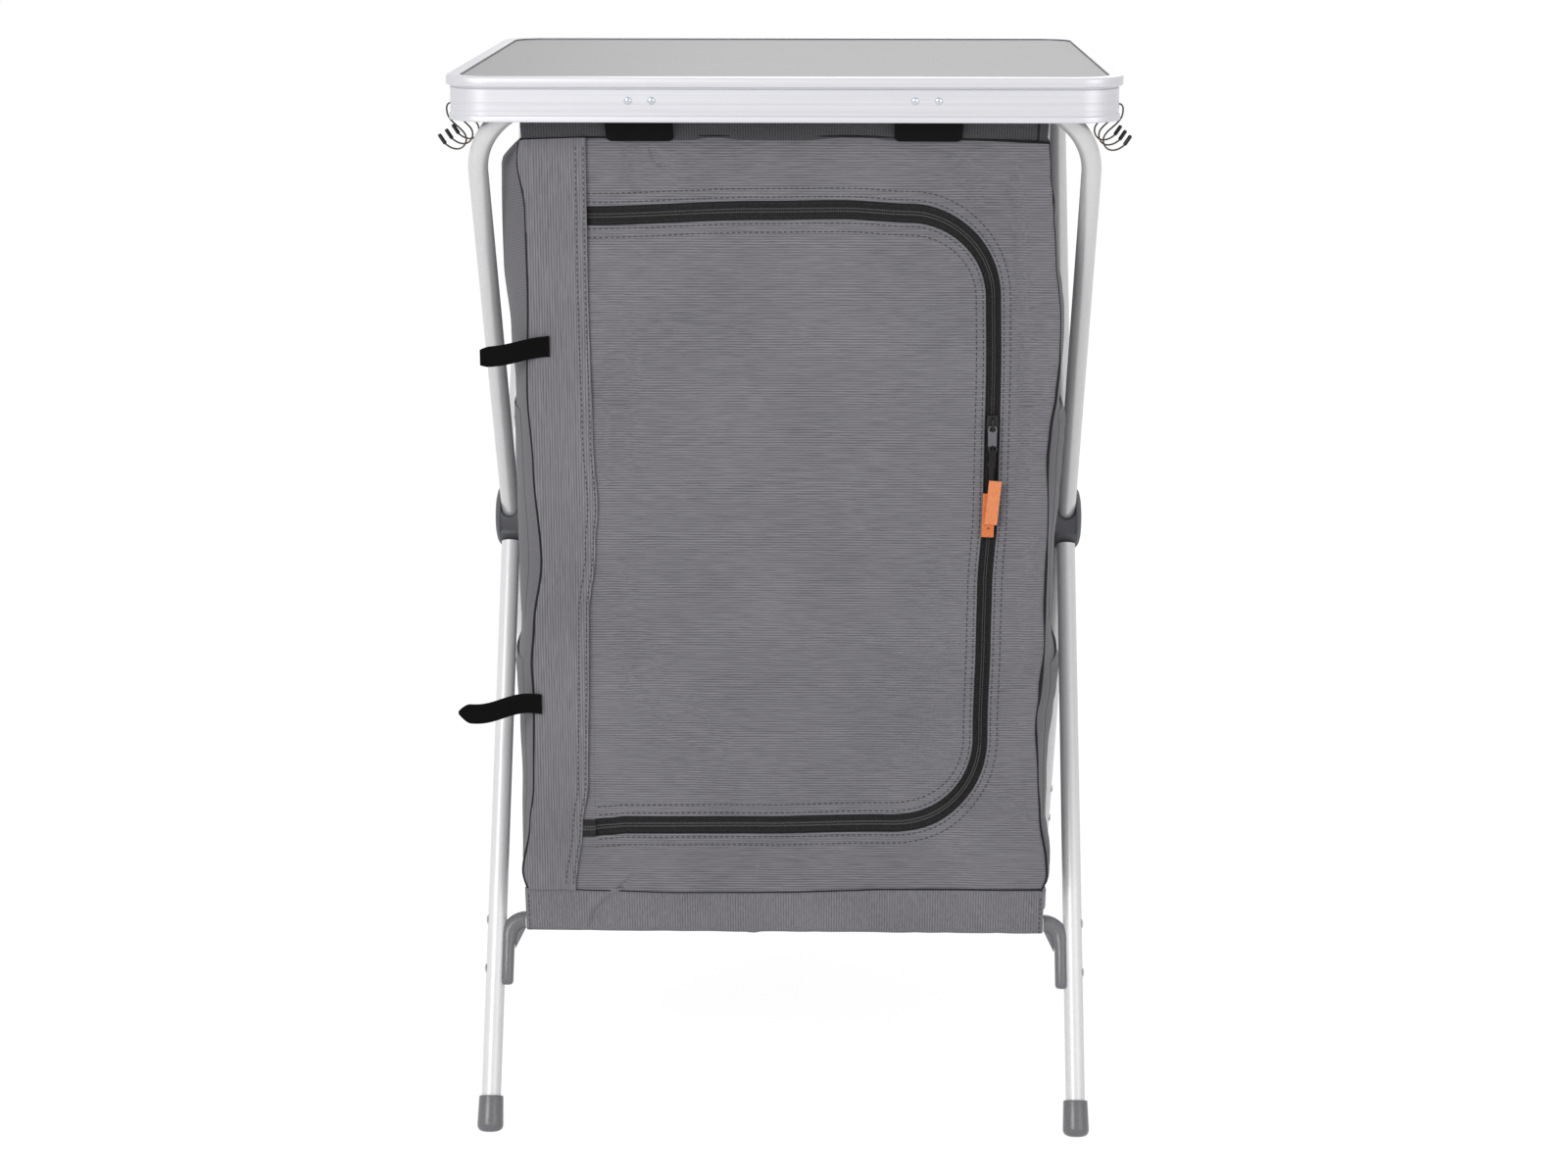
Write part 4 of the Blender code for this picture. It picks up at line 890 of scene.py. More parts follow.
# Front seams: (height, x) where the sides start, and the sides' widest x at each height
SEAM = {
    -1: ((0.921, -0.2370), (0.905, -0.2395), (0.858, -0.2325), (0.780, -0.2318), (0.690, -0.2340), (0.622, -0.2300),
         (0.532, -0.2240), (0.470, -0.2322), (0.433, -0.2352), (0.402, -0.2338), (0.316, -0.2354), (0.275, -0.2398),
         (0.227, -0.2480), (0.2115, -0.2432)),
    1: ((0.921, 0.2362), (0.900, 0.2382), (0.882, 0.2384), (0.869, 0.2420), (0.865, 0.2424), (0.857, 0.2412),
        (0.830, 0.2438), (0.802, 0.2452), (0.784, 0.2482), (0.764, 0.2500), (0.720, 0.2500), (0.690, 0.2475),
        (0.660, 0.2430), (0.630, 0.2408), (0.578, 0.2424), (0.490, 0.2410), (0.455, 0.2416), (0.404, 0.2381),
        (0.384, 0.2350), (0.326, 0.2380), (0.286, 0.2406), (0.240, 0.2478), (0.222, 0.2490), (0.2115, 0.2432)),
}
BULGE = {
    -1: ((0.921, 0.2375), (0.917, 0.2420), (0.913, 0.2462), (0.909, 0.2504), (0.905, 0.2545), (0.901, 0.2590),
         (0.897, 0.2628), (0.893, 0.2640), (0.860, 0.2645), (0.800, 0.2645), (0.740, 0.2580),
         (0.690, 0.2540), (0.540, 0.2530), (0.450, 0.2540), (0.428, 0.2565), (0.400, 0.2570), (0.360, 0.2545),
         (0.300, 0.2535), (0.258, 0.2540), (0.238, 0.2530), (0.2115, 0.2440)),
    1: ((0.921, 0.2380), (0.900, 0.2430), (0.884, 0.2440), (0.866, 0.2480), (0.830, 0.2510), (0.800, 0.2535),
        (0.784, 0.2565), (0.764, 0.2585), (0.742, 0.2585), (0.700, 0.2560), (0.676, 0.2560), (0.666, 0.2590),
        (0.658, 0.2618), (0.640, 0.2610), (0.610, 0.2584), (0.585, 0.2560), (0.540, 0.2525), (0.470, 0.2526),
        (0.438, 0.2540), (0.428, 0.2580), (0.412, 0.2602), (0.395, 0.2592), (0.375, 0.2560), (0.340, 0.2520),
        (0.300, 0.2505), (0.264, 0.2490), (0.232, 0.2555), (0.222, 0.2555), (0.2115, 0.2470)),
}


def crease(x, z, points, width, depth):
    """Narrow fold along a line of front points: how far it stands out."""
    best = 0.0
    for (x0, z0), (x1, z1) in zip(points, points[1:]):
        run = (x1 - x0, z1 - z0)
        t = min(max(((x - x0) * run[0] + (z - z0) * run[1]) / (run[0] ** 2 + run[1] ** 2), 0), 1)
        away = hypot(x - x0 - t * run[0], z - z0 - t * run[1])
        best = max(best, fade(away, 0, width))
    return depth * best


# Folds that the front shows: points, half width, height
FOLDS = (
    (((0.2016, 0.3800), (0.2124, 0.3787), (0.2265, 0.3722), (0.2275, 0.3754), (0.2340, 0.3811)), 0.0034, 0.0019),
    (((0.1905, 0.3332), (0.2217, 0.2820)), 0.0120, 0.0016),
    (((0.2030, 0.9000), (0.2100, 0.8500), (0.2140, 0.7700)), 0.0100, -0.0022),
    (((0.1560, 0.9050), (0.1660, 0.8850), (0.1720, 0.8650)), 0.0090, -0.0018),
    (((0.2180, 0.7400), (0.2200, 0.6600), (0.2160, 0.6000)), 0.0110, -0.0018),
    (((0.2300, 0.5600), (0.2240, 0.4900), (0.2280, 0.4300)), 0.0090, 0.0014),
    (((-0.1185, 0.9090), (-0.1140, 0.9000), (-0.1075, 0.8965)), 0.0050, -0.0024),
    (((-0.1350, 0.9080), (-0.1330, 0.8850)), 0.0140, -0.0018),
    (((-0.0960, 0.9050), (-0.0900, 0.8800)), 0.0130, 0.0014),
    (((-0.1560, 0.8100), (-0.1480, 0.7300), (-0.1540, 0.6200)), 0.0240, -0.0024),
    (((-0.1600, 0.5200), (-0.1350, 0.4300), (-0.0700, 0.3500)), 0.0260, -0.0022),
    (((-0.1000, 0.8000), (0.0200, 0.7200), (0.0900, 0.6900)), 0.0300, 0.0016),
    (((-0.0700, 0.3300), (0.0900, 0.3100), (0.1400, 0.3400)), 0.0220, 0.0016),
    (((-0.1300, 0.2500), (-0.0300, 0.2380)), 0.0100, -0.0012),
    (((0.0600, 0.2480), (0.1700, 0.2420)), 0.0120, 0.0012),
    (((-0.1440, 0.2270), (-0.1560, 0.2140)), 0.0034, -0.0018),
)


def front_relief(x, z):
    """How far the front cloth stands out from its plane: soft waves and folds, flatter along the zip."""
    wave = 0.0030 * ripple(x + z * 0.35, 0, z * 0.45, 0.085) + 0.0010 * ripple(x, 3, z, 0.034)
    away = abs(zip_distance(x, z))
    near = 1 - fade(away, 0.006, 0.040)
    folds = sum(crease(x, z, *fold) for fold in FOLDS)
    edge = min(1.0, (x - between(SEAM[-1], z)) / 0.015, (between(SEAM[1], z) - x) / 0.012)
    hem = 0.0008 * fade(away, 0.012, 0.020)
    return (wave * near + folds * (1 - fade(away, 0.008, 0.020))) * max(edge, 0.0) + hem


def top_edge(x):
    """Height of the front cloth's top edge, which the bands pull up between the corners."""
    fall = 0.0063 * ((x + 0.02) / 0.256) ** 2 if x > -0.02 else 0.0045 * ((x + 0.02) / 0.217) ** 2
    return 0.9255 - fall


def low_edge(x):
    """Height of the front cloth's lower edge."""
    return 0.2127 + 0.0012 * x / 0.24 - 0.0034 * max(0.0, 1 - ((x + 0.06) / 0.15) ** 2)


# The zip wanders from its drawn line: (height, shift sideways) on its right run, (x, shift up) on the others
ZIP_DRIFT = ((0.80, 0.0016), (0.713, 0.0030), (0.584, 0.0021), (0.509, -0.0019), (0.457, -0.0024), (0.377, -0.0040),
             (0.300, -0.0020), (0.25, 0.0))
TOP_DRIFT = ((0.17, 0.0), (0.114, 0.0010), (0.053, 0.0040), (-0.02, 0.0032), (-0.178, -0.0020))
LOW_DRIFT = ((0.16, 0.0010), (0.092, 0.0048), (-0.02, 0.0022), (-0.148, 0.0012), (-0.166, -0.0004),
             (-0.182, -0.0020))


def on_front(x, z, lift=0.0):
    """Front point moved along with the zip's drift, standing lift in front of the cloth."""
    side = between(ZIP_DRIFT, z) * fade(abs(x - ZIP_X), 0.006, 0.052 if x > ZIP_X else 0.160)
    up = between(TOP_DRIFT, x) * fade(abs(z - ZIP_TOP), 0.010, 0.064 if z > ZIP_TOP else 0.200)
    up += between(LOW_DRIFT, x) * fade(abs(z - ZIP_BOTTOM), 0.010, 0.060 if z < ZIP_BOTTOM else 0.200)
    return x + side, FRONT_Y - lift - front_relief(x, z), z + up


def zip_distance(x, z):
    """Signed distance of a front point from the zip's line, negative inside the door."""
    if x > ZIP_X - ZIP_TOP_R and z > ZIP_TOP - ZIP_TOP_R:
        return hypot(x - ZIP_X + ZIP_TOP_R, z - ZIP_TOP + ZIP_TOP_R) - ZIP_TOP_R
    if x > ZIP_X - ZIP_LOW_R and z < ZIP_BOTTOM + ZIP_LOW_R:
        return hypot(x - ZIP_X + ZIP_LOW_R, z - ZIP_BOTTOM - ZIP_LOW_R) - ZIP_LOW_R
    return max(x - ZIP_X, z - ZIP_TOP, ZIP_BOTTOM - z)


def zip_line(inset, steps=26, straight=100):
    """Points of the zip's line moved inward, from its top left end round to its bottom left end, with normals."""
    side, rise = inset * INSET_X, inset * INSET_Z
    right, top, low = ZIP_X - side, ZIP_TOP - rise, ZIP_BOTTOM + rise
    top_w, top_h = ZIP_TOP_R - side, ZIP_TOP_R - rise
    low_w, low_h = ZIP_LOW_R - side, ZIP_LOW_R - rise
    run = top - top_h - low - low_h

    def corner(x, z, wide, high, start):
        for k in range(steps + 1):
            a = radians(start - 90 * k / steps)
            line.append(((x + wide * cos(a), z + high * sin(a)), (cos(a), sin(a))))

    line = [((HINGE_X + (right - top_w - HINGE_X) * k / straight, top), (0, 1)) for k in range(straight)]
    corner(right - top_w, top - top_h, top_w, top_h, 90)
    line += [((right, top - top_h - run * k / straight), (1, 0)) for k in range(1, straight)]
    corner(right - low_w, low + low_h, low_w, low_h, 0)
    line += [((right - low_w + (HINGE_X - right + low_w) * k / straight, low), (0, -1))
             for k in range(1, straight + 1)]
    return line


def door_spot(u, v):
    """Point of the door: rows that end on the zip's line."""
    side, rise = ZIP_GAP * INSET_X, ZIP_GAP * INSET_Z
    top, low, right = ZIP_TOP - rise, ZIP_BOTTOM + rise, ZIP_X - side
    z = low + (top - low) * (0.5 - 0.5 * cos(pi * v))
    for radius, past in ((ZIP_TOP_R, z - top + ZIP_TOP_R - rise), (ZIP_LOW_R, low + ZIP_LOW_R - rise - z)):
        if past > 0:
            share = past / (radius - rise)
            right -= (radius - side) * (1 - max(1 - share ** 2, 0) ** 0.5)
    return on_front(HINGE_X + 0.0001 + (right - HINGE_X) * u, z)


def to_hems(x, z):
    """Height of a front point, moved along with the top and lower edges."""
    z += (top_edge(x) - CABINET_TOP) * fade(z, CABINET_TOP, CABINET_TOP - 0.05)
    return z + (low_edge(x) - CABINET_BOTTOM) * fade(z, CABINET_BOTTOM, CABINET_BOTTOM + 0.04)


def seam_beyond(point, normal):
    """Where the surround's thread from a point of the zip's line ends on the cabinet's outline."""
    x, z = point
    margin = 0.03
    edge = CABINET_TOP if normal[1] > 0 else CABINET_BOTTOM
    lo, hi = between(SEAM[-1], edge), between(SEAM[1], edge)
    if normal[1] == 0:
        share = (z - ZIP_BOTTOM) / (ZIP_TOP - ZIP_BOTTOM)
        reach = CABINET_BOTTOM + margin + (CABINET_TOP - CABINET_BOTTOM - 2 * margin) * share
        return between(SEAM[int(normal[0])], reach), reach
    if abs(normal[0]) < 1e-6:
        share = (x - HINGE_X) / (ZIP_X - HINGE_X)
        return lo + (hi - lo) * (0.03 + 0.90 * share), edge
    angle = atan2(abs(normal[1]), normal[0]) / (pi / 2)
    if angle > 0.5:
        start = lo + (between(SEAM[1], z) - lo) * 0.80
        return start + (hi - start) * min(1, (1 - angle) * 2), edge
    end = CABINET_TOP - margin if normal[1] > 0 else CABINET_BOTTOM + margin
    reach = end + (edge - end) * angle * 2
    return between(SEAM[1], reach), reach


def surround():
    """Front cloth round the door: a ring from the zip's line out to the seams."""
    parts = 160
    inner = zip_line(-ZIP_GAP, 30, parts)
    low, top = inner[-1][0][1], inner[0][0][1]
    inner += [((HINGE_X, low + (top - low) * k / parts), (-1, 0)) for k in range(parts + 1)]
    outer = [seam_beyond(point, normal) for point, normal in inner]
    count = len(inner)
    begin()
    bpy.ops.mesh.primitive_grid_add(x_subdivisions=count, y_subdivisions=34, size=2)
    obj = bpy.context.active_object
    for vertex in obj.data.vertices:
        i = round((vertex.co.x + 1) / 2 * (count - 1))
        t = (vertex.co.y + 1) / 2
        (x0, z0), _ = inner[i]
        x1, z1 = outer[i]
        x, y, z = on_front(x0 + (x1 - x0) * t, z0 + (z1 - z0) * t)
        vertex.co = (x, y, to_hems(x, z))
    edit()
    weld(1e-4)
    face_out()
    leave_edit()
    turn_out(obj, FORWARD)
    thicken(obj, 0.0011)
    return finish("front_cloth", CLOTH, 50)


def room_inside(y, z):
    """How far out a side's cloth can reach before the tubes and the hub stop it."""
    return 0.2652 - 0.0090 * fade(hypot(y, z - HUB_Z), 0.034, 0.060)


def side_x(side, y, z):
    """Distance out of a side's cloth: drawn in at the seams, full between them."""
    t = min(abs(y) / SIDE_Y, 1.0)
    seam = abs(between(SEAM[side], z))
    full = between(BULGE[side], z)
    wave = 0.0014 * ripple(y + z * 0.3, side * 5, z, 0.07)
    return min(seam + (full - seam + wave) * (1 - t ** 6), room_inside(y, z))


def side_spot(side):
    """Side panel by shares of its depth and height."""

    def spot(u, v):
        y, z = -SIDE_Y + 2 * SIDE_Y * u, height_at(v)
        return side * side_x(side, y, z), y, z

    return spot


def pocket_spot(side, low, high):
    """Patch pocket on a side by its height range: sewn down at bottom and ends, slack along its open top."""

    def spot(u, v):
        y = -0.190 + 0.380 * u
        z = low + (high - low) * v
        across = 1 - (2 * abs(u - 0.5)) ** 8
        rise = min(1.0, v / 0.08) ** 0.6
        slack = 0.0010 + 0.0010 * sin(pi * v) + 0.0009 * ripple(y, side * 9, z, 0.05)
        hem = 0.0007 * (v > 0.90) * across
        x = side_x(side, y, z) + 0.0004 + max(slack, 0.0) * across * rise + hem
        return side * min(x, room_inside(y, z) + 0.0004), y, z

    return spot


def back_spot(u, v):
    """Point of the back, flat but for soft waves."""
    z = height_at(v)
    lo, hi = -abs(between(SEAM[-1], z)), abs(between(SEAM[1], z))
    x = lo + (hi - lo) * u
    edge = min(1.0, u / 0.05, (1 - u) / 0.05)
    wave = 0.0022 * ripple(x, 7, z * 0.6, 0.09) + 0.0008 * ripple(x, 8, z, 0.03)
    return x, BACK_Y + edge * wave - 0.0002, z


def roof_spot(u, v):
    """Point of the roof, which sags a little in its middle."""
    x = -0.2365 + 0.473 * u
    y = -0.2130 + 0.426 * v
    sag = 0.005 * (1 - (2 * u - 1) ** 4) * (1 - (2 * v - 1) ** 4)
    return x, y, CABINET_TOP - 0.0003 - sag + 0.001 * ripple(x, y, 1, 0.07) * min(1, 12 * u * (1 - u))


def board(title, node):
    """Stiffened board in its cloth cover, its ends drawn in where the sides pull in at the seams."""
    low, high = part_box(node)
    obj = block((low + high) / 2, (high - low) / 2)
    round_edges(0.0016, 4)
    leave_edit()
    for vertex in obj.data.vertices:
        side = 1 if vertex.co.x > 0 else -1
        room = side_x(side, vertex.co.y, vertex.co.z) - 0.0030
        vertex.co.x = side * min(abs(vertex.co.x), room)
    on_cabinet(finish(title, CLOTH, 50), node)


def stitch_row(title, points, normal, material=THREAD):
    """Row of stitches: one small flat stitch copied at each pitch along a line."""
    pitch, length, width, depth = 0.0052, 0.0030, 0.0007, 0.0006
    out = Vector(normal).normalized()
    walked, step = 0.0, pitch / 2
    shape = bmesh.new()
    for a, b in zip(points, points[1:]):
        a, b = Vector(a), Vector(b)
        run = (b - a).length
        way = (b - a).normalized()
        turned = Matrix((way * length, way.cross(out) * width, out * depth)).transposed().to_4x4()
        while step <= walked + run:
            centre = a + (b - a) * ((step - walked) / run)
            bmesh.ops.create_cube(shape, size=1, matrix=Matrix.Translation(centre) @ turned)
            step += pitch
        walked += run
    begin()
    bpy.ops.mesh.primitive_cube_add(size=1)
    shape.to_mesh(bpy.context.active_object.data)
    shape.free()
    edit()
    face_out()
    return finish(title, material, 0)


def zip_end(inset):
    """The zip's lower end beyond the hinge, sewn down under the placket."""
    return [((HINGE_X + 0.0002 - 0.0165 * k / 10, ZIP_BOTTOM + inset * INSET_Z), (0, -1)) for k in range(11)]


def zip_band(title, inset_in, inset_out, material, lift, crown=0.0, across=2, line=zip_line):
    """Band along the zip's line between two insets, with UV along and across in metres."""
    line_a, line_b = line(inset_in), line(inset_out)
    count = len(line_a)
    lengths = [0.0]
    for (p, _), (q, _) in zip(line_a, line_a[1:]):
        lengths.append(lengths[-1] + hypot(q[0] - p[0], q[1] - p[1]))
    begin()
    bpy.ops.mesh.primitive_grid_add(x_subdivisions=across, y_subdivisions=count - 1, size=2, calc_uvs=True)
    obj = bpy.context.active_object
    places = {}
    for vertex in obj.data.vertices:
        t = (vertex.co.x + 1) / 2
        i = round((vertex.co.y + 1) / 2 * (count - 1))
        (xa, za), _ = line_a[i]
        (xb, zb), _ = line_b[i]
        x, _, z = on_front(xa + (xb - xa) * t, za + (zb - za) * t)
        vertex.co = (x, FRONT_Y - lift - crown * (1 - (2 * t - 1) ** 2), z)
        places[vertex.index] = (t * abs(inset_out - inset_in), lengths[i])
    for loop in obj.data.loops:
        obj.data.uv_layers[0].data[loop.index].uv = places[loop.vertex_index]
    turn_out(obj, FORWARD)
    thicken(obj, 0.0006)
    return finish(title, material, 40)


def along_zip(inset, lift):
    return [on_front(x, z, lift) for (x, z), _ in zip_line(inset)]


# Placket's free edge: (height, x)
PLACKET_EDGE = ((0.921, -0.1772), (0.782, -0.1771), (0.646, -0.1748), (0.586, -0.1712), (0.545, -0.1740),
                (0.479, -0.1810), (0.413, -0.1820), (0.317, -0.1844), (0.278, -0.1897), (0.2125, -0.1975))


# How thick the front piping shows at each height, as a share of its radius; on the right the cord is painted shade for
# the shadowed slit between the front's hem and the side, and its widths follow that shadow
PIPING_AND_SLIT_SHADE_WIDTH = {
    -1: ((0.921, 0.50), (0.860, 0.90), (0.640, 0.80), (0.520, 1.05), (0.450, 1.15), (0.300, 0.80), (0.2115, 1.0)),
    1: ((0.921, 0.35), (0.745, 0.35), (0.700, 1.05), (0.630, 1.25), (0.600, 0.45), (0.560, 0.45), (0.530, 1.1),
        (0.490, 1.2), (0.462, 0.50), (0.442, 0.45), (0.430, 1.5), (0.408, 1.6), (0.396, 0.50), (0.382, 0.45),
        (0.372, 1.2), (0.345, 0.75), (0.325, 0.45), (0.290, 0.75), (0.250, 1.05), (0.2115, 0.75)),
}


def placket_run(z):
    """The placket's seam and free edge at a height."""
    return between(SEAM[-1], z) + 0.0004, between(PLACKET_EDGE, z)


def placket_spot(u, v):
    """Point of the placket: sewn down at its seam, its free edge curled away from the front."""
    z = height_at(v)
    left, edge = placket_run(z)
    x = left + (edge - left) * u
    wave = 0.0018 * ripple(x + z * 0.3, 11, z * 0.6, 0.060) + 0.0014
    curl = 0.0010 * max(0.0, (u - 0.8) / 0.2)
    hem = min(1.0, u / 0.10)
    z = to_hems(x, z)
    return x, FRONT_Y - 0.0009 - max(0.0, wave) * hem - curl - max(0.0, front_relief(x, z)), z


def build_front():
    """Door, surround, and the placket over the hinge with its two rows of stitches."""
    door = cloth("door_cloth", door_spot, 110, 170, CLOTH, outward=FORWARD)
    settle(door, "door", "polyester_cloth", "door_panel")
    ring = surround()
    on_cabinet(ring, "front_surround")
    strip = cloth("placket_cloth", placket_spot, 26, 190, CLOTH_UPRIGHT, thickness=0.0012, outward=FORWARD)
    on_cabinet(strip, "placket")
    span = CABINET_TOP - CABINET_BOTTOM
    ends = 0.004
    for number, back in enumerate((0.0022, 0.0092), start=1):
        points = []
        for k in range(181):
            z = CABINET_BOTTOM + ends + (span - 2 * ends) * k / 180
            left, edge = placket_run(z)
            x, y, _ = placket_spot((edge - back - left) / (edge - left), (z - CABINET_BOTTOM) / span)
            points.append((x, y - 0.0001, z))
        on_cabinet(stitch_row(f"placket_stitches_{number}", points, FORWARD))


def build_side(name, side):
    """Side panel with its two pockets and the piping of its seams; on the right the front cord is painted shade for the
    slit at that seam.
    """
    # The side cloth's colour is painted shade: the front's cloth made darker
    wall = cloth(f"side_cloth_{name}", side_spot(side), 44, 150, CLOTH_PAINTED_SHADE_SIDES, outward=(side, 0, 0))
    on_cabinet(wall, f"cabinet_side_{name}")
    for level, low, high, nodes in (("lower", 0.230, 0.430, [f"side_pockets_{name}"]), ("upper", 0.470, 0.670, [])):
        spot = pocket_spot(side, low, high)
        pocket = cloth(f"side_pocket_{level}_{name}", spot, 48, 40, CLOTH_PAINTED_SHADE_SIDES, outward=(side, 0, 0))
        hem = [Vector(spot(k / 30, 0.93)) + Vector((side * 0.0002, 0, 0)) for k in range(1, 30)]
        on_cabinet(stitch_row(f"pocket_stitches_{level}_{name}", hem, (side, 0, 0), PALE_THREAD))
        on_cabinet(pocket, *nodes)
    heights = [height_at(k / 60) for k in range(61)]
    # Front seam cord: piping on the left, painted shade for the slit on the right
    front = [(between(SEAM[side], z), FRONT_Y - 0.0004, z) for z in heights]
    widths = [between(PIPING_AND_SLIT_SHADE_WIDTH[side], z) for z in heights]
    on_cabinet(wire(f"front_piping_{name}", front, 0.0012, PIPING_AND_SHADE_CORD, widths=widths))
    rear = [(abs(between(SEAM[side], z)) * side, BACK_Y + 0.0003, z) for z in heights]
    on_cabinet(wire(f"rear_piping_{name}", rear, 0.0013, PIPING_AND_SHADE_CORD))


def build_shell():
    """Sides, back, roof, piping round the front and back, and the covered floor and shelves."""
    for name, side in SIDES:
        build_side(name, side)
    back = cloth("back_cloth", back_spot, 60, 90, CLOTH, outward=(0, 1, 0))
    on_cabinet(back, "cabinet_back")
    roof = cloth("roof_cloth", roof_spot, 40, 36, CLOTH, outward=(0, 0, 1))
    on_cabinet(roof, "cabinet_roof")
    steps = range(61)
    for end, sy in ENDS:
        for level, rule, half, flat in (("top", top_edge, 0.236, CABINET_TOP),
                                        ("bottom", low_edge, 0.243, CABINET_BOTTOM)):
            points = []
            for k in steps:
                x = -half + 2 * half * k / 60
                if sy < 0:
                    points.append((x, -0.2144 - max(0.0, front_relief(x, flat)), rule(x)))
                else:
                    points.append((x, 0.2144, flat + 0.0008 * ripple(x, sy, flat, 0.05)))
            widths = None
            if (end, level) == ("front", "bottom"):
                widths = [0.45 + 0.35 * (k / 60) ** 2 for k in steps]
            on_cabinet(wire(f"{end}_{level}_piping", points, 0.0011, PIPING_AND_SHADE_CORD, widths=widths))
    for node in ("cabinet_floor", "shelf_lower", "shelf_upper"):
        board(node + "_cover", node)


def wrap_path(start, centre, radius, way, angle):
    """Flat (y, z) path from a point, tangent onto a circle and round it."""
    steps = 22
    dy, dz = start[0] - centre[0], start[1] - centre[1]
    touch = degrees(atan2(dz, dy) + way * acos(radius / hypot(dy, dz)))

    def on_circle(a):
        return centre[0] + radius * cos(a), centre[1] + radius * sin(a)

    first = on_circle(radians(touch))
    line = [(start[0] + (first[0] - start[0]) * k / 10, start[1] + (first[1] - start[1]) * k / 10) for k in range(10)]
    return line + [on_circle(radians(touch + way * angle * k / steps)) for k in range(steps + 1)]


def along_path(path, v):
    """Point of a flat path at a share of its points."""
    k = min(int(v * (len(path) - 1)), len(path) - 2)
    t = v * (len(path) - 1) - k
    (y0, z0), (y1, z1) = path[k], path[k + 1]
    return y0 + (y1 - y0) * t, z0 + (z1 - z0) * t


def flat_run(path, sy, x0, x1):
    """Level sheet along a path drawn for the front, mirrored to the rear where sy is 1."""

    def spot(u, v):
        y, z = along_path(path, v)
        return x0 + (x1 - x0) * u, -sy * y, z

    return spot


# Tucks that the front skirt shows: points, half width, height
SKIRT_TUCKS = (
    (((-0.1540, 0.2120), (-0.1740, 0.2010), (-0.1850, 0.1880), (-0.1890, 0.1720)), 0.0075, 0.0024),
    (((-0.1500, 0.2120), (-0.1700, 0.2000), (-0.1805, 0.1870), (-0.1845, 0.1720)), 0.0034, -0.0022),
    (((-0.0300, 0.1760), (-0.0250, 0.1700), (-0.0270, 0.1640), (-0.0330, 0.1640)), 0.0036, 0.0016),
    (((-0.1300, 0.1720), (-0.0900, 0.1780), (-0.0700, 0.1720)), 0.0070, 0.0012),
)


def build_skirts():
    """Skirts round the crossbars, each with its hidden inner length, which rides on a frame."""
    bar = (-CROSSBAR_Y, CROSSBAR_Z)
    half = 0.2460
    for end, sy in ENDS:
        path = wrap_path((-0.2140, CABINET_BOTTOM), bar, 0.0094, 1, 235)

        def spot(u, v):
            x = -half + 2 * half * u
            y, z = along_path(path, v)
            fold = sum(crease(x, z, *tuck) for tuck in SKIRT_TUCKS) if sy < 0 else 0.0
            seam = 0.0008 * fade(abs(x + 0.029), 0, 0.0030)
            slack = 0.0014 * ripple(x, sy, z * 0.6, 0.05) * min(1, v * 6) * (z > 0.168)
            hem = 0.0010 * abs(ripple(x, sy, 2, 0.035)) * (z < 0.17)
            return x, -sy * (y - fold - seam - abs(slack)), z - hem

        hidden = flat_run(wrap_path((-0.1785, 0.2112), bar, 0.0092, 1, 250), sy, -0.2440, 0.2440)
        web = cloth(end + "_skirt_web", hidden, 30, 30, CLOTH_UPRIGHT, thickness=0.0008, outward=(0, sy, 0))
        attach(web, "frame_b" if sy < 0 else "frame_a", "polyester_cloth")
        skirt = cloth(end + "_skirt_cloth", spot, 300, 56, CLOTH_UPRIGHT, outward=(0, sy, 0))
        on_cabinet(skirt, end + "_skirt")
        for name, side in SIDES:
            points = [spot(0.5 + side * 0.4935, v / 20) for v in range(1, 13)]
            points = [(x, y + sy * 0.0002, z) for x, y, z in points]
            on_cabinet(stitch_row(f"{end}_skirt_stitches_{name}", points, (0, sy, 0)))


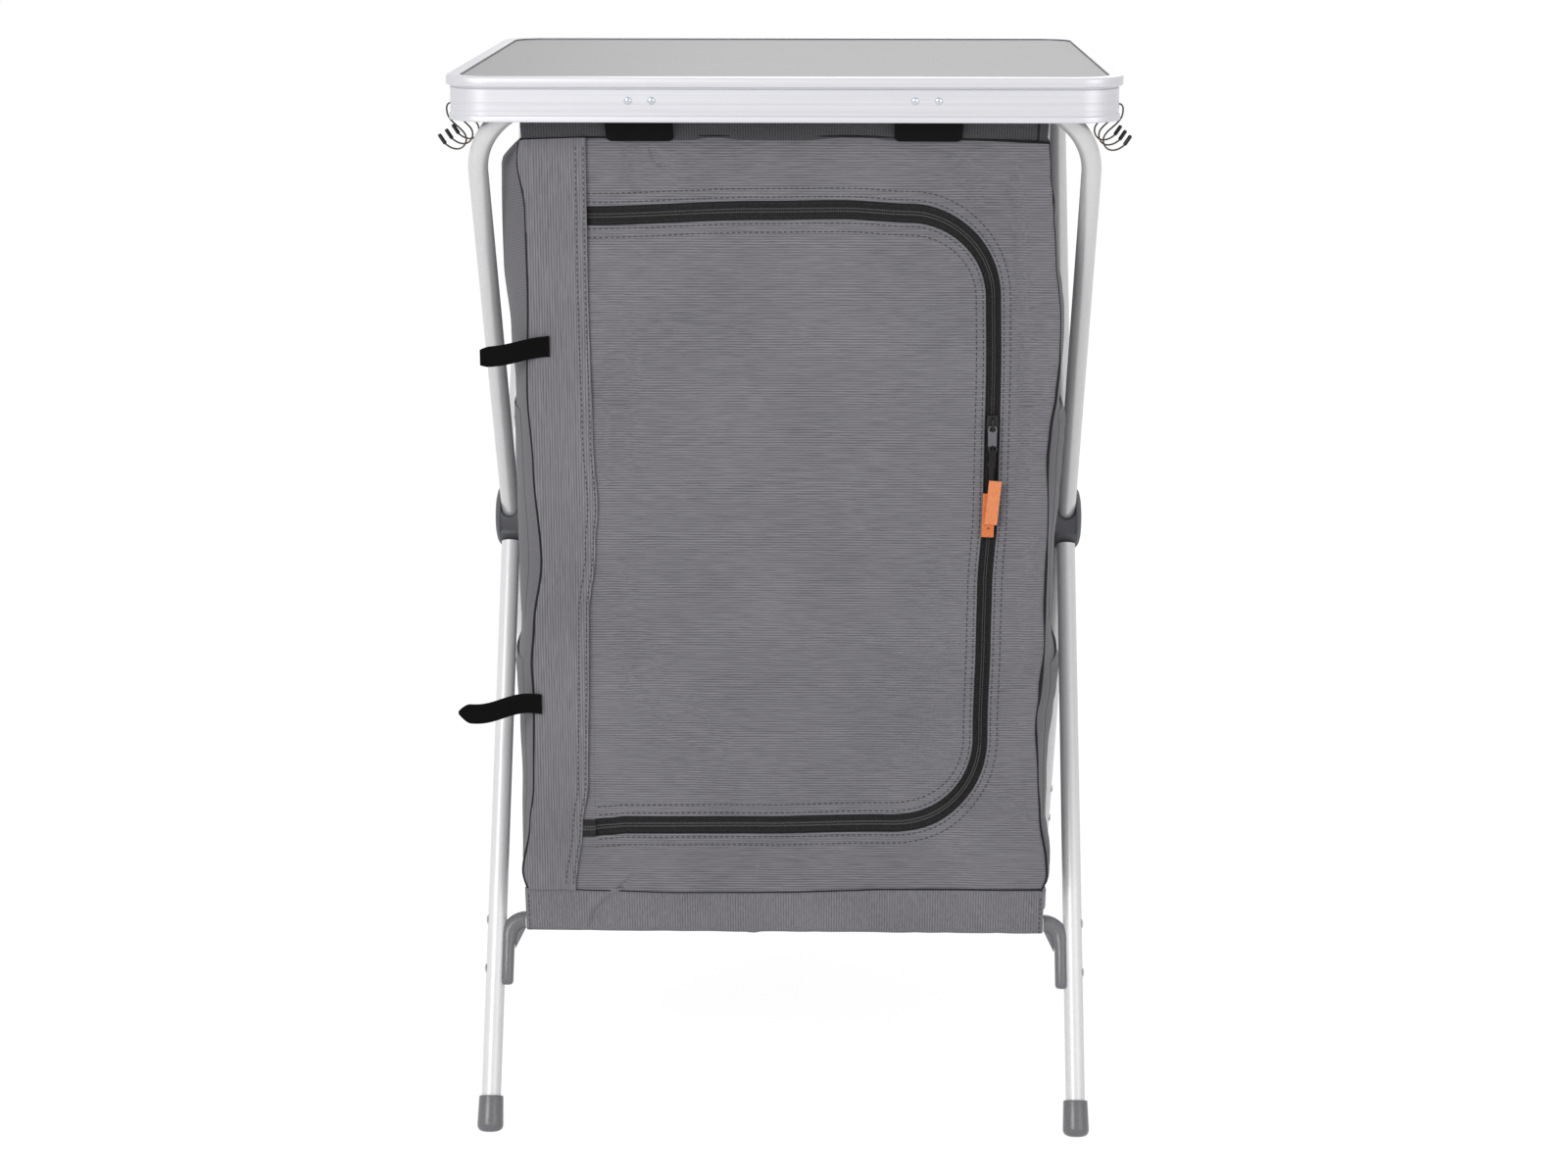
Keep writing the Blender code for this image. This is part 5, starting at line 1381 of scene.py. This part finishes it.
def build_bands():
    """Bands up to the top bars, their loops round the bars, hidden inner lengths, and the front straps."""
    bar = (-BAR_Y, BAR_Z)
    for end, sy in ENDS:
        body = "frame_a" if sy < 0 else "frame_b"
        path = wrap_path((-0.2138, CABINET_TOP), bar, 0.0100, 1, 215)
        low = [p for p in path if p[1] < BAR_Z - 0.0150]

        def spot(u, v):
            x = -0.2350 + 0.470 * u
            y, z = along_path(low, v)
            return x, -sy * y + sy * 0.0006 * abs(ripple(x, sy, z, 0.03)), z

        band = cloth(end + "_band_cloth", spot, 110, 10, BAND_CLOTH, outward=(0, sy, 0))
        on_cabinet(band, end + "_top_band")
        if sy < 0:
            line = [(0.2262, y - 0.0009, z) for y, z in low if z > CABINET_TOP - 0.001]
            on_cabinet(wire("front_band_seam", line, 0.0006, PIPING_AND_SHADE_CORD))
        width = sum(hypot(b[0] - a[0], b[1] - a[1]) for a, b in zip(low, low[1:]))
        # The loops leave the straps free in front, the guides in the rear
        middle, gap = (STRAP_X, 0.0315) if sy < 0 else (CLIP_X, 0.0175)
        for name, x0, x1 in (("left", -0.1960, -middle - gap), ("middle", -middle + gap, middle - gap),
                             ("right", middle + gap, 0.1960)):

            def loop_spot(u, v):
                y, z = along_path(path, 0.20 + 0.80 * v)
                return x0 + (x1 - x0) * u, -sy * y, z

            loop = cloth(f"{end}_band_loop_{name}", loop_spot, 24, 26, BAND_CLOTH, thickness=0.0009)
            attach(loop, body, "polyester_cloth")
        tail = [(-0.2088, 0.8620), (-0.2090, 0.8800), (-0.2092, 0.9000), (-0.2106, 0.9140)]
        hidden = flat_run(tail + [(y + 0.0014, z) for y, z in low], sy, -0.2340, 0.2340)
        web = cloth(end + "_band_web", hidden, 30, 16, BAND_CLOTH, thickness=0.0008, outward=(0, sy, 0))
        attach(web, body, "polyester_cloth")
    round_bar = wrap_path((-0.2152, CABINET_TOP - 0.001), bar, 0.0103, -1, 268)
    for name, side in SIDES:

        def strap_spot(u, v):
            x = side * STRAP_X - 0.0302 + 0.0604 * u
            y, z = along_path(round_bar, v)
            corner = max(0.0, abs(2 * u - 1) - 0.86) / 0.14
            lift = 0.0030 * corner ** 2 * max(0.0, 1 - v * 8)
            sag = 0.0010 * abs(ripple(x, 4, z, 0.012)) * max(0.0, 1 - v * 4)
            return x, y - sag, z + lift

        strap = cloth(f"bar_strap_cloth_{name}", strap_spot, 30, 32, STRAP_CLOTH)
        attach(strap, "frame_a", "black_hook_and_loop", f"bar_strap_{name}")


def tie(level, x, z, length, drop, point):
    """Loose strap that ties the rolled door, sewn on near the left seam; point is how sharp its end is."""

    def spot(u, v):
        end = max(0.0, (u - 0.86) / 0.14)
        half = 0.0095 * (1 - point * end ** 1.6)
        wave = 0.0035 * (1 - cos(2 * pi * u)) / 2
        middle = z - drop * u + 0.0035 * sin(2 * pi * u) * point
        twist = 0.0012 * sin(3 * pi * u)
        return x - length * u, -0.2185 - wave - twist * (v - 0.5), middle + half * (2 * v - 1)

    strap = cloth("tie_strap_cloth_" + level, spot, 40, 10, STRAP_CLOTH, thickness=0.0014, outward=FORWARD)
    settle(strap, "cabinet", "black_hook_and_loop", "tie_strap_" + level)


def build_ties():
    tie("upper", -0.2126, 0.7345, 0.0635, 0.0105, 0.25)
    tie("lower", -0.2262, 0.3955, 0.0780, 0.0085, 0.85)


# Zip

def build_zip():
    """Tapes, coils, ridges, dark cords of painted shade at the cloth's turned edges, and stitches of the zip, and its
    lower end under the placket.
    """
    stub = []
    for sign in (1, -1):
        for part, near, far, material, lift, crown, across in (
                ("tape", 0.0001, 0.0074, TAPE, 0.0020, 0.0, 2), ("coil", 0.0001, 0.0022, COIL, 0.0022, 0.0006, 5),
                ("ridge", 0.0030, 0.0046, TAPE, 0.0022, 0.0004, 4)):
            stub.append(zip_band(f"end_{part}_{sign}", sign * near, sign * far, material, lift, crown, across, zip_end))
    settle(fuse("zip_lower_end", stub), "cabinet", "zip_tape")
    for sign, body, name, rest in ((1, "door", "inner", "door_cloth"), (-1, "cabinet", "outer", "front_cloth")):
        tape = zip_band(f"{name}_zip_tape_cloth", sign * 0.0003, sign * 0.0104, TAPE, -0.0006)
        settle(tape, body, "zip_tape", "zip_tape_" + name)
        parts = [zip_band(f"{name}_zip_coil", sign * 0.0001, sign * 0.0022, COIL, -0.0003, 0.0010, 5)]
        for number, start in enumerate((0.0027, 0.0040), start=1):
            parts.append(zip_band(f"{name}_zip_ridge_{number}", sign * start, sign * (start + 0.0007), TAPE, -0.0003,
                                  0.0005, 4))
        settle(fuse(f"{name}_zip_coil", parts), body, "zip_tape")
        # Dark cord at the cloth's turned edge over the tape: painted shade for the shadow of that edge
        edge = wire(f"{name}_zip_edge_shade_cord", along_zip(sign * 0.0072, -0.0003), 0.0006, PIPING_AND_SHADE_CORD, False)
        settle(edge, body, "zip_tape")
        for number, far in enumerate((0.0104, 0.0172), start=1):
            row = stitch_row(f"{name}_zip_stitches_{number}", along_zip(sign * far, 0.0001), FORWARD)
            settle(row, body, "polyester_cloth")


def zip_slider():
    """Slider body with waisted sides and the bridge that holds the pull."""
    z = 0.6635
    obj = block((PULL_X, -0.21705, z), (0.0055, 0.00175, 0.00875))
    bpy.ops.mesh.subdivide(number_cuts=3)
    pick("VERT", lambda p: p.z < z - 0.006)
    resize(0.72, 1, 1)
    pick("VERT", lambda p: p.z > z + 0.006)
    resize(0.90, 1, 1)
    leave_edit()
    soft = obj.modifiers.new("rounding", "SUBSURF")
    soft.levels = soft.render_levels = 2
    body = finish("zip_slider_shell", SLIDER_ENAMEL, 60)
    arch = ((-0.2186, -0.0060), (-0.2212, -0.0058), (-0.2226, -0.0035), (-0.2228, 0.0010), (-0.2222, 0.0045),
            (-0.2205, 0.0060), (-0.2184, 0.0062))
    bridge = wire("zip_slider_bridge", [(PULL_X, y, z + dz) for y, dz in arch], 0.0011, SLIDER_ENAMEL)
    return fuse("zip_slider_body", [body, bridge])


def ring_plate(title, centre, radius, hole, thickness, material):
    """Flat ring facing the front."""
    begin()
    bpy.ops.mesh.primitive_torus_add(location=centre, rotation=(pi / 2, 0, 0), major_segments=32, minor_segments=10,
                                     major_radius=(radius + hole) / 2, minor_radius=(radius - hole) / 2)
    bpy.context.active_object.scale = (1, 1, thickness / (radius - hole))
    return finish(title, material, 60)


def zip_pull():
    """Flat pull: two prongs on the bridge, a plate, and a round eye for the cord."""
    x, y = PULL_X, PULL_Y
    block((x, y, 0.6510), (0.0041, 0.0008, 0.0072))
    round_edges(0.0006, 3)
    parts = [finish("zip_pull_plate", PULL_ENAMEL, 50)]
    for name, side in SIDES:
        bends = [(x + side * dx, y, z) for dx, z in ((0.0034, 0.6570), (0.0035, 0.6600), (0.0024, 0.6622))]
        parts.append(wire(f"zip_pull_rod_{name}", bends, 0.0010, PULL_ENAMEL))
    bar = [(x - 0.0026, y, 0.6624), (x + 0.0026, y, 0.6624)]
    parts.append(wire("zip_pull_bar", bar, 0.0008, PULL_ENAMEL, False))
    parts.append(ring_plate("zip_pull_eye", (x + 0.0004, y, 0.6412), 0.0046, 0.0022, 0.0017, SLIDER_ENAMEL))
    return fuse("zip_pull_blade", parts)


def tag_leaf(title, top, low, width, lift, material):
    """One side of the folded tag, from the (x, z) of its top to that of its lower end."""
    way = Vector((low[0] - top[0], 0, low[1] - top[1]))
    across = way.normalized().cross(Vector((0, 1, 0)))

    def spot(u, v):
        bow = 0.0005 * sin(pi * v)
        return Vector((top[0], PULL_Y - lift - bow, top[1])) + way * v + across * (u - 0.5) * width

    return cloth(title, spot, 8, 24, material, thickness=0.0015, outward=FORWARD)


def build_slider():
    """Slider, pull, and the cord loop with its folded orange tag."""
    settle(zip_slider(), "slider", "black_zip_metal", "zip_slider")
    settle(zip_pull(), "pull", "grey_zip_metal", "zip_pull")
    x, y = PULL_X, PULL_Y
    cords = []
    for number, shift in ((1, -0.0011), (2, 0.0013)):
        points = [(x + shift, y + 0.0012, 0.6095), (x - 0.0006 + shift, y + 0.0026, 0.6230),
                  (x + 0.0010 + shift, y + 0.0028, 0.6350), (x + 0.0006, y + 0.0012, 0.6412),
                  (x + 0.0006, y - 0.0012, 0.6412), (x + 0.0018 - shift, y - 0.0030, 0.6350),
                  (x - 0.0010 - shift, y - 0.0024, 0.6240), (x + 0.0004 + shift, y - 0.0010, 0.6095)]
        cords.append(wire(f"tag_cord_{number}", points, 0.0009, CORD))
    cords.append(ring_plate("tag_knot", (x - 0.0004, y - 0.0024, 0.6268), 0.0034, 0.0010, 0.0020, CORD))
    settle(fuse("tag_cords", cords), "tag", "orange_strap")
    rear = tag_leaf("tag_rear_leaf", (0.1876, 0.5995), (0.1866, 0.5588), 0.0112, -0.0004, ORANGE_PAINTED_SHADE_REAR)
    front = tag_leaf("tag_front_leaf", (0.1930, 0.6120), (0.1892, 0.5712), 0.0115, 0.0024, ORANGE)
    settle(rear, "tag", "orange_strap", "pull_tag")
    settle(front, "tag", "orange_strap")
    dot = ring_plate("tag_stitch", (0.1872, y - 0.0004, 0.5672), 0.0011, 0.0006, 0.0008, ORANGE_SHADE)
    settle(dot, "tag", "orange_strap")


# Studio

def rays_of(tree, *kinds):
    """1 on rays of the kinds named, otherwise 0."""
    path = add(tree, "ShaderNodeLightPath")
    level = path.outputs[kinds[0]]
    for kind in kinds[1:]:
        level = maths(tree, "MAXIMUM", level, path.outputs[kind])
    return level


def studio():
    """Pale floor, white surround, broad soft lamps and the camera."""
    begin()
    bpy.ops.mesh.primitive_plane_add(size=14, location=(0, 0, -0.0005))
    floor = bpy.context.active_object
    floor.name = "studio_floor"
    mat, tree, shader = surface("pale_floor", Roughness=0.8, Base_Color=(0.90, 0.90, 0.90, 1))
    share = maths(tree, "MULTIPLY", rays_of(tree, "Is Camera Ray", "Is Glossy Ray"), 0.80)
    glow = add(tree, "ShaderNodeEmission", {"Color": (1, 1, 1, 1), "Strength": 1.16})
    mix = add(tree, "ShaderNodeMixShader", (), {0: share, 1: shader.outputs[0], 2: glow.outputs[0]})
    tree.links.new(mix.outputs[0], tree.nodes["Material Output"].inputs["Surface"])
    floor.data.materials.append(mat)
    world = bpy.data.worlds.new("studio_white")
    bpy.context.scene.world = world
    world.use_nodes = True
    tree = world.node_tree
    seen = rays_of(tree, "Is Camera Ray", "Is Glossy Ray", "Is Transmission Ray")
    level = add(tree, "ShaderNodeMapRange", {"To Min": 0.42, "To Max": 1.0}, {"Value": seen})
    back = tree.nodes["Background"]
    back.inputs["Color"].default_value = (1, 1, 1, 1)
    tree.links.new(level.outputs[0], back.inputs["Strength"])
    for name, place, size, power in (("key_lamp", (-1.7, -2.8, 2.0), 1.4, 42),
                                     ("fill_lamp", (2.2, -2.4, 1.5), 1.8, 14),
                                     ("rear_lamp", (0.3, 2.4, 2.4), 1.6, 12)):
        bpy.ops.object.light_add(type="AREA", location=place)
        lamp = bpy.context.active_object
        lamp.name = name
        lamp.data.size = size
        lamp.data.energy = power
        lamp.rotation_euler = (Vector((0, 0, 0.5)) - Vector(place)).to_track_quat("-Z", "Y").to_euler()
    bpy.ops.object.camera_add(location=(0.0493, -2.7310, 1.1803))
    camera = bpy.context.active_object
    camera.rotation_euler = (radians(90 - 12.96), 0, radians(1.123))
    camera.data.sensor_width = 36
    camera.data.lens = 64.67
    camera.data.shift_y = -0.0625
    bpy.context.scene.camera = camera
    bpy.context.scene.view_settings.view_transform = "Standard"


build_frame(-1)
build_frame(1)
build_pins()
build_tabletop()
build_front()
build_shell()
build_skirts()
build_bands()
build_ties()
build_zip()
build_slider()
studio()
